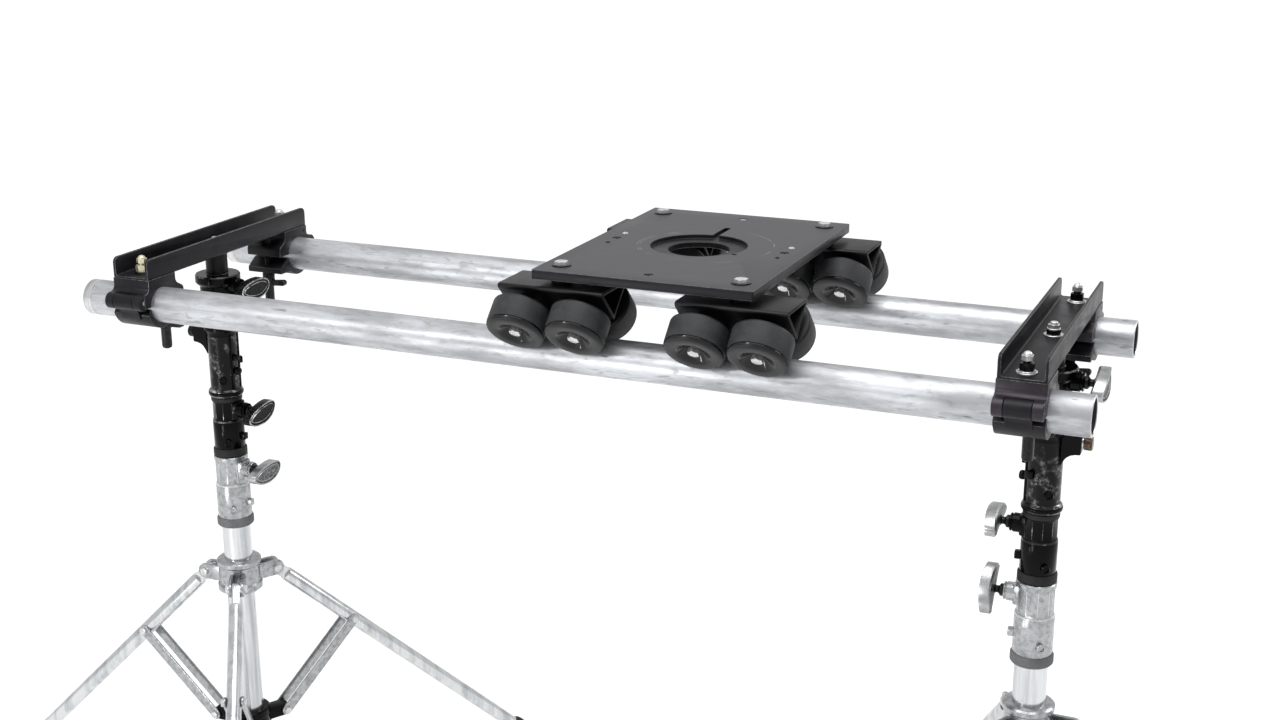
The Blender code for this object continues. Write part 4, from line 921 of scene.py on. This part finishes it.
def leg():
    """A leg hanging along -Z from its pin along Y, down to its rubber foot."""
    tube = spun([(0, -592), (11, -592), (11, -28), (9.6, -25), (0, -24)], 40)
    tongue = prism([(-9, 9, 8.8), (9, 9, 8.8), (9, -22, 2), (9, -40, 4), (-9, -40, 4),
                    (-9, -22, 2)], -6, 6)
    eye = carved(placed(tongue, ALONG_Y), placed(rod(4.3, -9, 9), TO_Y))
    curve = [math.radians(angle) for angle in (10, 30, 44, 67)]
    sole = spun([(0, -588), (11.6, -588), (12.4, -592), (14.6, -597), (15, -601), (15, -620),
                 *((15 * math.cos(a), -620 - 15 * math.sin(a)) for a in curve), (0, -635)], 40,
                finish=1)
    return gathered(tube, eased(eye, 0.7, 2), sole)


def brace():
    """Two straps that straddle a leg, up along Z from the pin that joins them."""
    half, end = 8, BRACE_LENGTH + 8
    parts = [placed(rod(4, -13, 13, 1), TO_Y)]
    for side, inner, outer in ((1, -14.3, -11.3), (-1, 11.3, 14.3)):
        strap = prism([(-half, -half, 7.9), (half, -half, 7.9), (half, end, 7.9),
                       (-half, end, 7.9)], inner, outer)
        parts.append(eased(placed(strap, ALONG_Y), 0.5, 2))
        for level in (0, BRACE_LENGTH):
            parts.append(placed(hexagon(10, 14.2, 18, 1), toward((0, side, 0), (0, 0, level))))
    return gathered(*parts)


def brace_collar():
    """The ring that slides on the column and carries the braces; Z = 0 is its pins' level."""
    parts = [spun([(21.6, -20), (29, -20), (31, -18), (31, -9), (29.6, -7), (29.6, 7), (31, 9),
                   (31, 18), (29, 20), (21.6, 20)])]
    for count in range(3):
        ear = placed(prism([(25, -9), (65, -9, 8.8), (65, 9, 8.8), (25, 9)], -11, 11), ALONG_Y)
        ear = carved(ear, placed(rod(4.3, -14, 14), shift(LEG_PIN_OFFSET, 0, 0) @ TO_Y))
        parts.append(placed(eased(ear, 0.8, 2), around(180 + 120 * count)))
    return gathered(*parts)


# Assembly

def dress_track():
    """Rails, track ends, jaws and clamp screws."""
    pipe, lower, screw = rail(), jaw(), clamp_screw()
    for name, row in ROWS:
        piece("rail_" + name, pipe, shift(RAIL_X, row * GAUGE / 2, RAIL_LEVEL),
              (PIPE, PIPE_END, PIPE_BORE, PIPE_BAND))
    for side_name, side, clamp in (("left", -1, ANODISED), ("right", 1, VIOLET)):
        spot = shift(side * STAND_X, 0, RAIL_LEVEL)
        piece("track_end_" + side_name, track_end(side < 0), spot,
              (ANODISED, ANODISED_EDGE, ZINC, BLACKED, YELLOW_ZINC, clamp))
        for row_name, row in ROWS:
            label = side_name + "_" + row_name
            hinge = shift(0, row * (GAUGE / 2 + HINGE[0]), HINGE[1])
            piece("clamp_jaw_" + label, lower, spot @ hinge @ facing(row),
                  (ANODISED, ANODISED_EDGE))
            stud = shift(0, row * (GAUGE / 2 - SCREW_OFFSET), 0)
            piece("clamp_screw_" + label, screw, spot @ stud @ facing(row),
                  (BLACKED, RUBBED_STEEL))


def dress_carriage():
    """Platform, trucks and wheels."""
    piece("platform", platform(), shift(PLATFORM_X, 0, PLATFORM_BASE),
          (PLATE, PLATE_EDGE, ANODISED, ZINC, BLACKED))
    bogie, tyre = truck(), wheel()
    for across_name, row in ROWS:
        for along_name, side in (("left", -1), ("right", 1)):
            corner = across_name + "_" + along_name
            spot = shift(PLATFORM_X + side * TRUCK_SPACING / 2, row * GAUGE / 2, RAIL_LEVEL)
            piece("truck_" + corner, bogie, spot, (POWDER, POWDER_END_SHADE, ZINC, BLACKED))
            for letter, wheel_row in (("a", -1), ("b", 1)):
                for count, wheel_side in ((1, -1), (2, 1)):
                    centre, direction = axle(wheel_side, wheel_row)
                    piece("wheel_" + corner + "_" + letter + str(count), tyre,
                          spot @ toward(direction, centre), (URETHANE, HUB, CHEEK))


def dress_stand(side_name, side, knob, tilts, dark):
    """Column, risers, handles and braced legs of one stand."""
    axis = shift(side * STAND_X, 0, 0)
    face = axis @ facing(side)
    piece("column_" + side_name, column(), face,
          (ENAMEL, CHROME, RUBBER, DIECAST, ZINC, GREY_RUBBER))
    piece("riser_" + side_name, riser(), face, (ENAMEL, CHROME, RUBBER, STEP_HIGHLIGHT))
    piece("receiver_" + side_name, receiver(90 + 90 * side), face,
          (ENAMEL, CHROME, STEP_HIGHLIGHT, knob, CAST_GLINTS))
    piece("brace_collar_" + side_name, brace_collar(), face @ shift(0, 0, BRACE_PIN), (ENAMEL,))
    limb, strut = leg(), brace()
    for count in range(3):
        heading = face @ around(180 + 120 * count)
        label = side_name + "_" + str(count + 1)
        piece("leg_" + label, limb, heading @ shift(LEG_PIN_OFFSET, 0, CROWN_PIN)
              @ around(-LEG_SPREAD, "Y"), (CHROME, RUBBER))
        piece("brace_" + label, strut, heading @ shift(LEG_PIN_OFFSET, 0, BRACE_PIN)
              @ around(LEG_SPREAD, "Y"), (DIECAST, ZINC))
    screws = (("lower", COLUMN_TOP - SCREW_DROP, 19, 39, face),
              ("middle", RISER_TOP - SCREW_DROP, 16.3, 36.5, face),
              ("upper", RIM_LEVEL - 5, 14.3, 40, axis))
    for (label, level, tip, reach, heading), tilt in zip(screws, tilts):
        finishes = (HANDLE_RIM, BLACKED, HANDLE_FACE, HANDLE_RIM)
        if label in dark:
            # Painted highlight: the dark handles' rims take the bright rim finish.
            finishes = (DARK_FACE, BLACKED, DARK_FACE, DARK_HANDLE_HIGHLIGHT)
        piece("handle_" + side_name + "_" + label, handle(tip, reach),
              heading @ shift(0, 0, level) @ around(tilt, "X"), finishes)


# Stage

def set_floor():
    """A pale matt floor that looks white to the camera and in reflections."""
    near, far = (1.0, 0.6), (7.0, 0.88)  # metres from the middle, and how white it looks there
    ground = bmesh.new()
    bmesh.ops.create_grid(ground, x_segments=1, y_segments=1, size=40)
    mesh = bpy.data.meshes.new("floor")
    ground.to_mesh(mesh)
    floor = linked("floor", mesh)
    material = bpy.data.materials.new("pale_floor")
    material.use_nodes = True
    tree = material.node_tree
    tree.nodes.clear()
    matt = add(tree, "BsdfDiffuse", {"Color": tint("e8e8e8")})
    ray = add(tree, "LightPath")
    seen = add(tree, "Math", {0: ray.outputs["Is Camera Ray"], 1: ray.outputs["Is Glossy Ray"]},
               operation="MAXIMUM")
    spot = add(tree, "TexCoord").outputs["Object"]
    reach = add(tree, "VectorMath", {0: spot}, operation="LENGTH").outputs["Value"]
    level = add(tree, "MapRange", {0: reach, 1: near[0], 2: far[0], 3: near[1], 4: far[1]})
    share = add(tree, "Math", {0: seen, 1: level}, operation="MULTIPLY")
    glow = add(tree, "Emission", {"Color": (1, 1, 1, 1), "Strength": share})
    both = add(tree, "AddShader", {0: matt, 1: glow})
    add(tree, "OutputMaterial", {"Surface": both})
    mesh.materials.append(material)


def set_world():
    """A plain white studio, dimmer on the object than it looks to the camera and in metal."""
    base, added_in_metal, added_in_camera = 0.26, 0.52, 0.74
    world = bpy.data.worlds.new("studio")
    bpy.context.scene.world = world
    world.use_nodes = True
    tree = world.node_tree
    tree.nodes.clear()
    ray = add(tree, "LightPath")
    mirrored = add(tree, "Math",
                   {0: ray.outputs["Is Glossy Ray"], 1: added_in_metal, 2: base},
                   operation="MULTIPLY_ADD")
    strength = add(tree, "Math",
                   {0: ray.outputs["Is Camera Ray"], 1: added_in_camera, 2: mirrored},
                   operation="MULTIPLY_ADD")
    sky = add(tree, "Background", {"Color": (1, 1, 1, 1), "Strength": strength})
    add(tree, "OutputWorld", {"Surface": sky})


def set_lamps():
    """Soft round lamps: place and aim in metres, size in metres and power in watts."""
    for name, place, aim, size, power in (
            ("softbox", (0.2, -0.6, 4.0), (0.1, 0, 0.9), 3.0, 80),
            ("key", (-1.4, -3.0, 2.6), (0.0, 0, 0.8), 0.6, 26),
            ("low", (-1.0, -2.8, 0.25), (0.1, 0, 0.9), 0.5, 9),
            ("glint", (-0.95, -1.4, 0.19), (0.1, -0.2, 0.96), 0.12, 1.6),
            ("rim", (2.6, 1.8, 2.6), (0.2, 0, 0.8), 1.2, 22)):
        lamp = bpy.data.lights.new(name, "AREA")
        lamp.shape = "DISK"
        lamp.size = size
        lamp.energy = power
        item = linked(name, lamp)
        item.location = place
        item.visible_camera = False
        item.rotation_euler = (Vector(aim) - Vector(place)).to_track_quat("-Z", "Y").to_euler()


def set_camera():
    """The camera at the photograph's angle, solved from the pipes and the platform."""
    frame_width, focal_length, sensor = 1280, 1743.5, 36
    yaw, pitch, roll = 0.401, 0.294, -0.003
    place = shift(917.8, -2010.2, 609.8 + RAIL_LEVEL)
    forward = Vector((-math.sin(yaw) * math.cos(pitch), math.cos(yaw) * math.cos(pitch),
                      -math.sin(pitch)))
    right = Vector((math.cos(yaw), math.sin(yaw), 0))
    turn = Matrix((right, right.cross(forward), -forward)).transposed().to_4x4()
    camera = linked("camera", bpy.data.cameras.new("camera"))
    camera.data.sensor_width = sensor
    camera.data.lens = focal_length / frame_width * sensor
    camera.matrix_world = place @ turn @ Matrix.Rotation(roll, 4, "Z")
    bpy.context.scene.camera = camera


set_floor()
set_world()
set_lamps()
set_camera()
bpy.context.scene.view_settings.view_transform = "Standard"

dress_track()
dress_carriage()
dress_stand("left", -1, BLACKED, (4, 10, 0), ("middle", "upper"))
dress_stand("right", 1, BRASS, (-53, -12, 16), ())
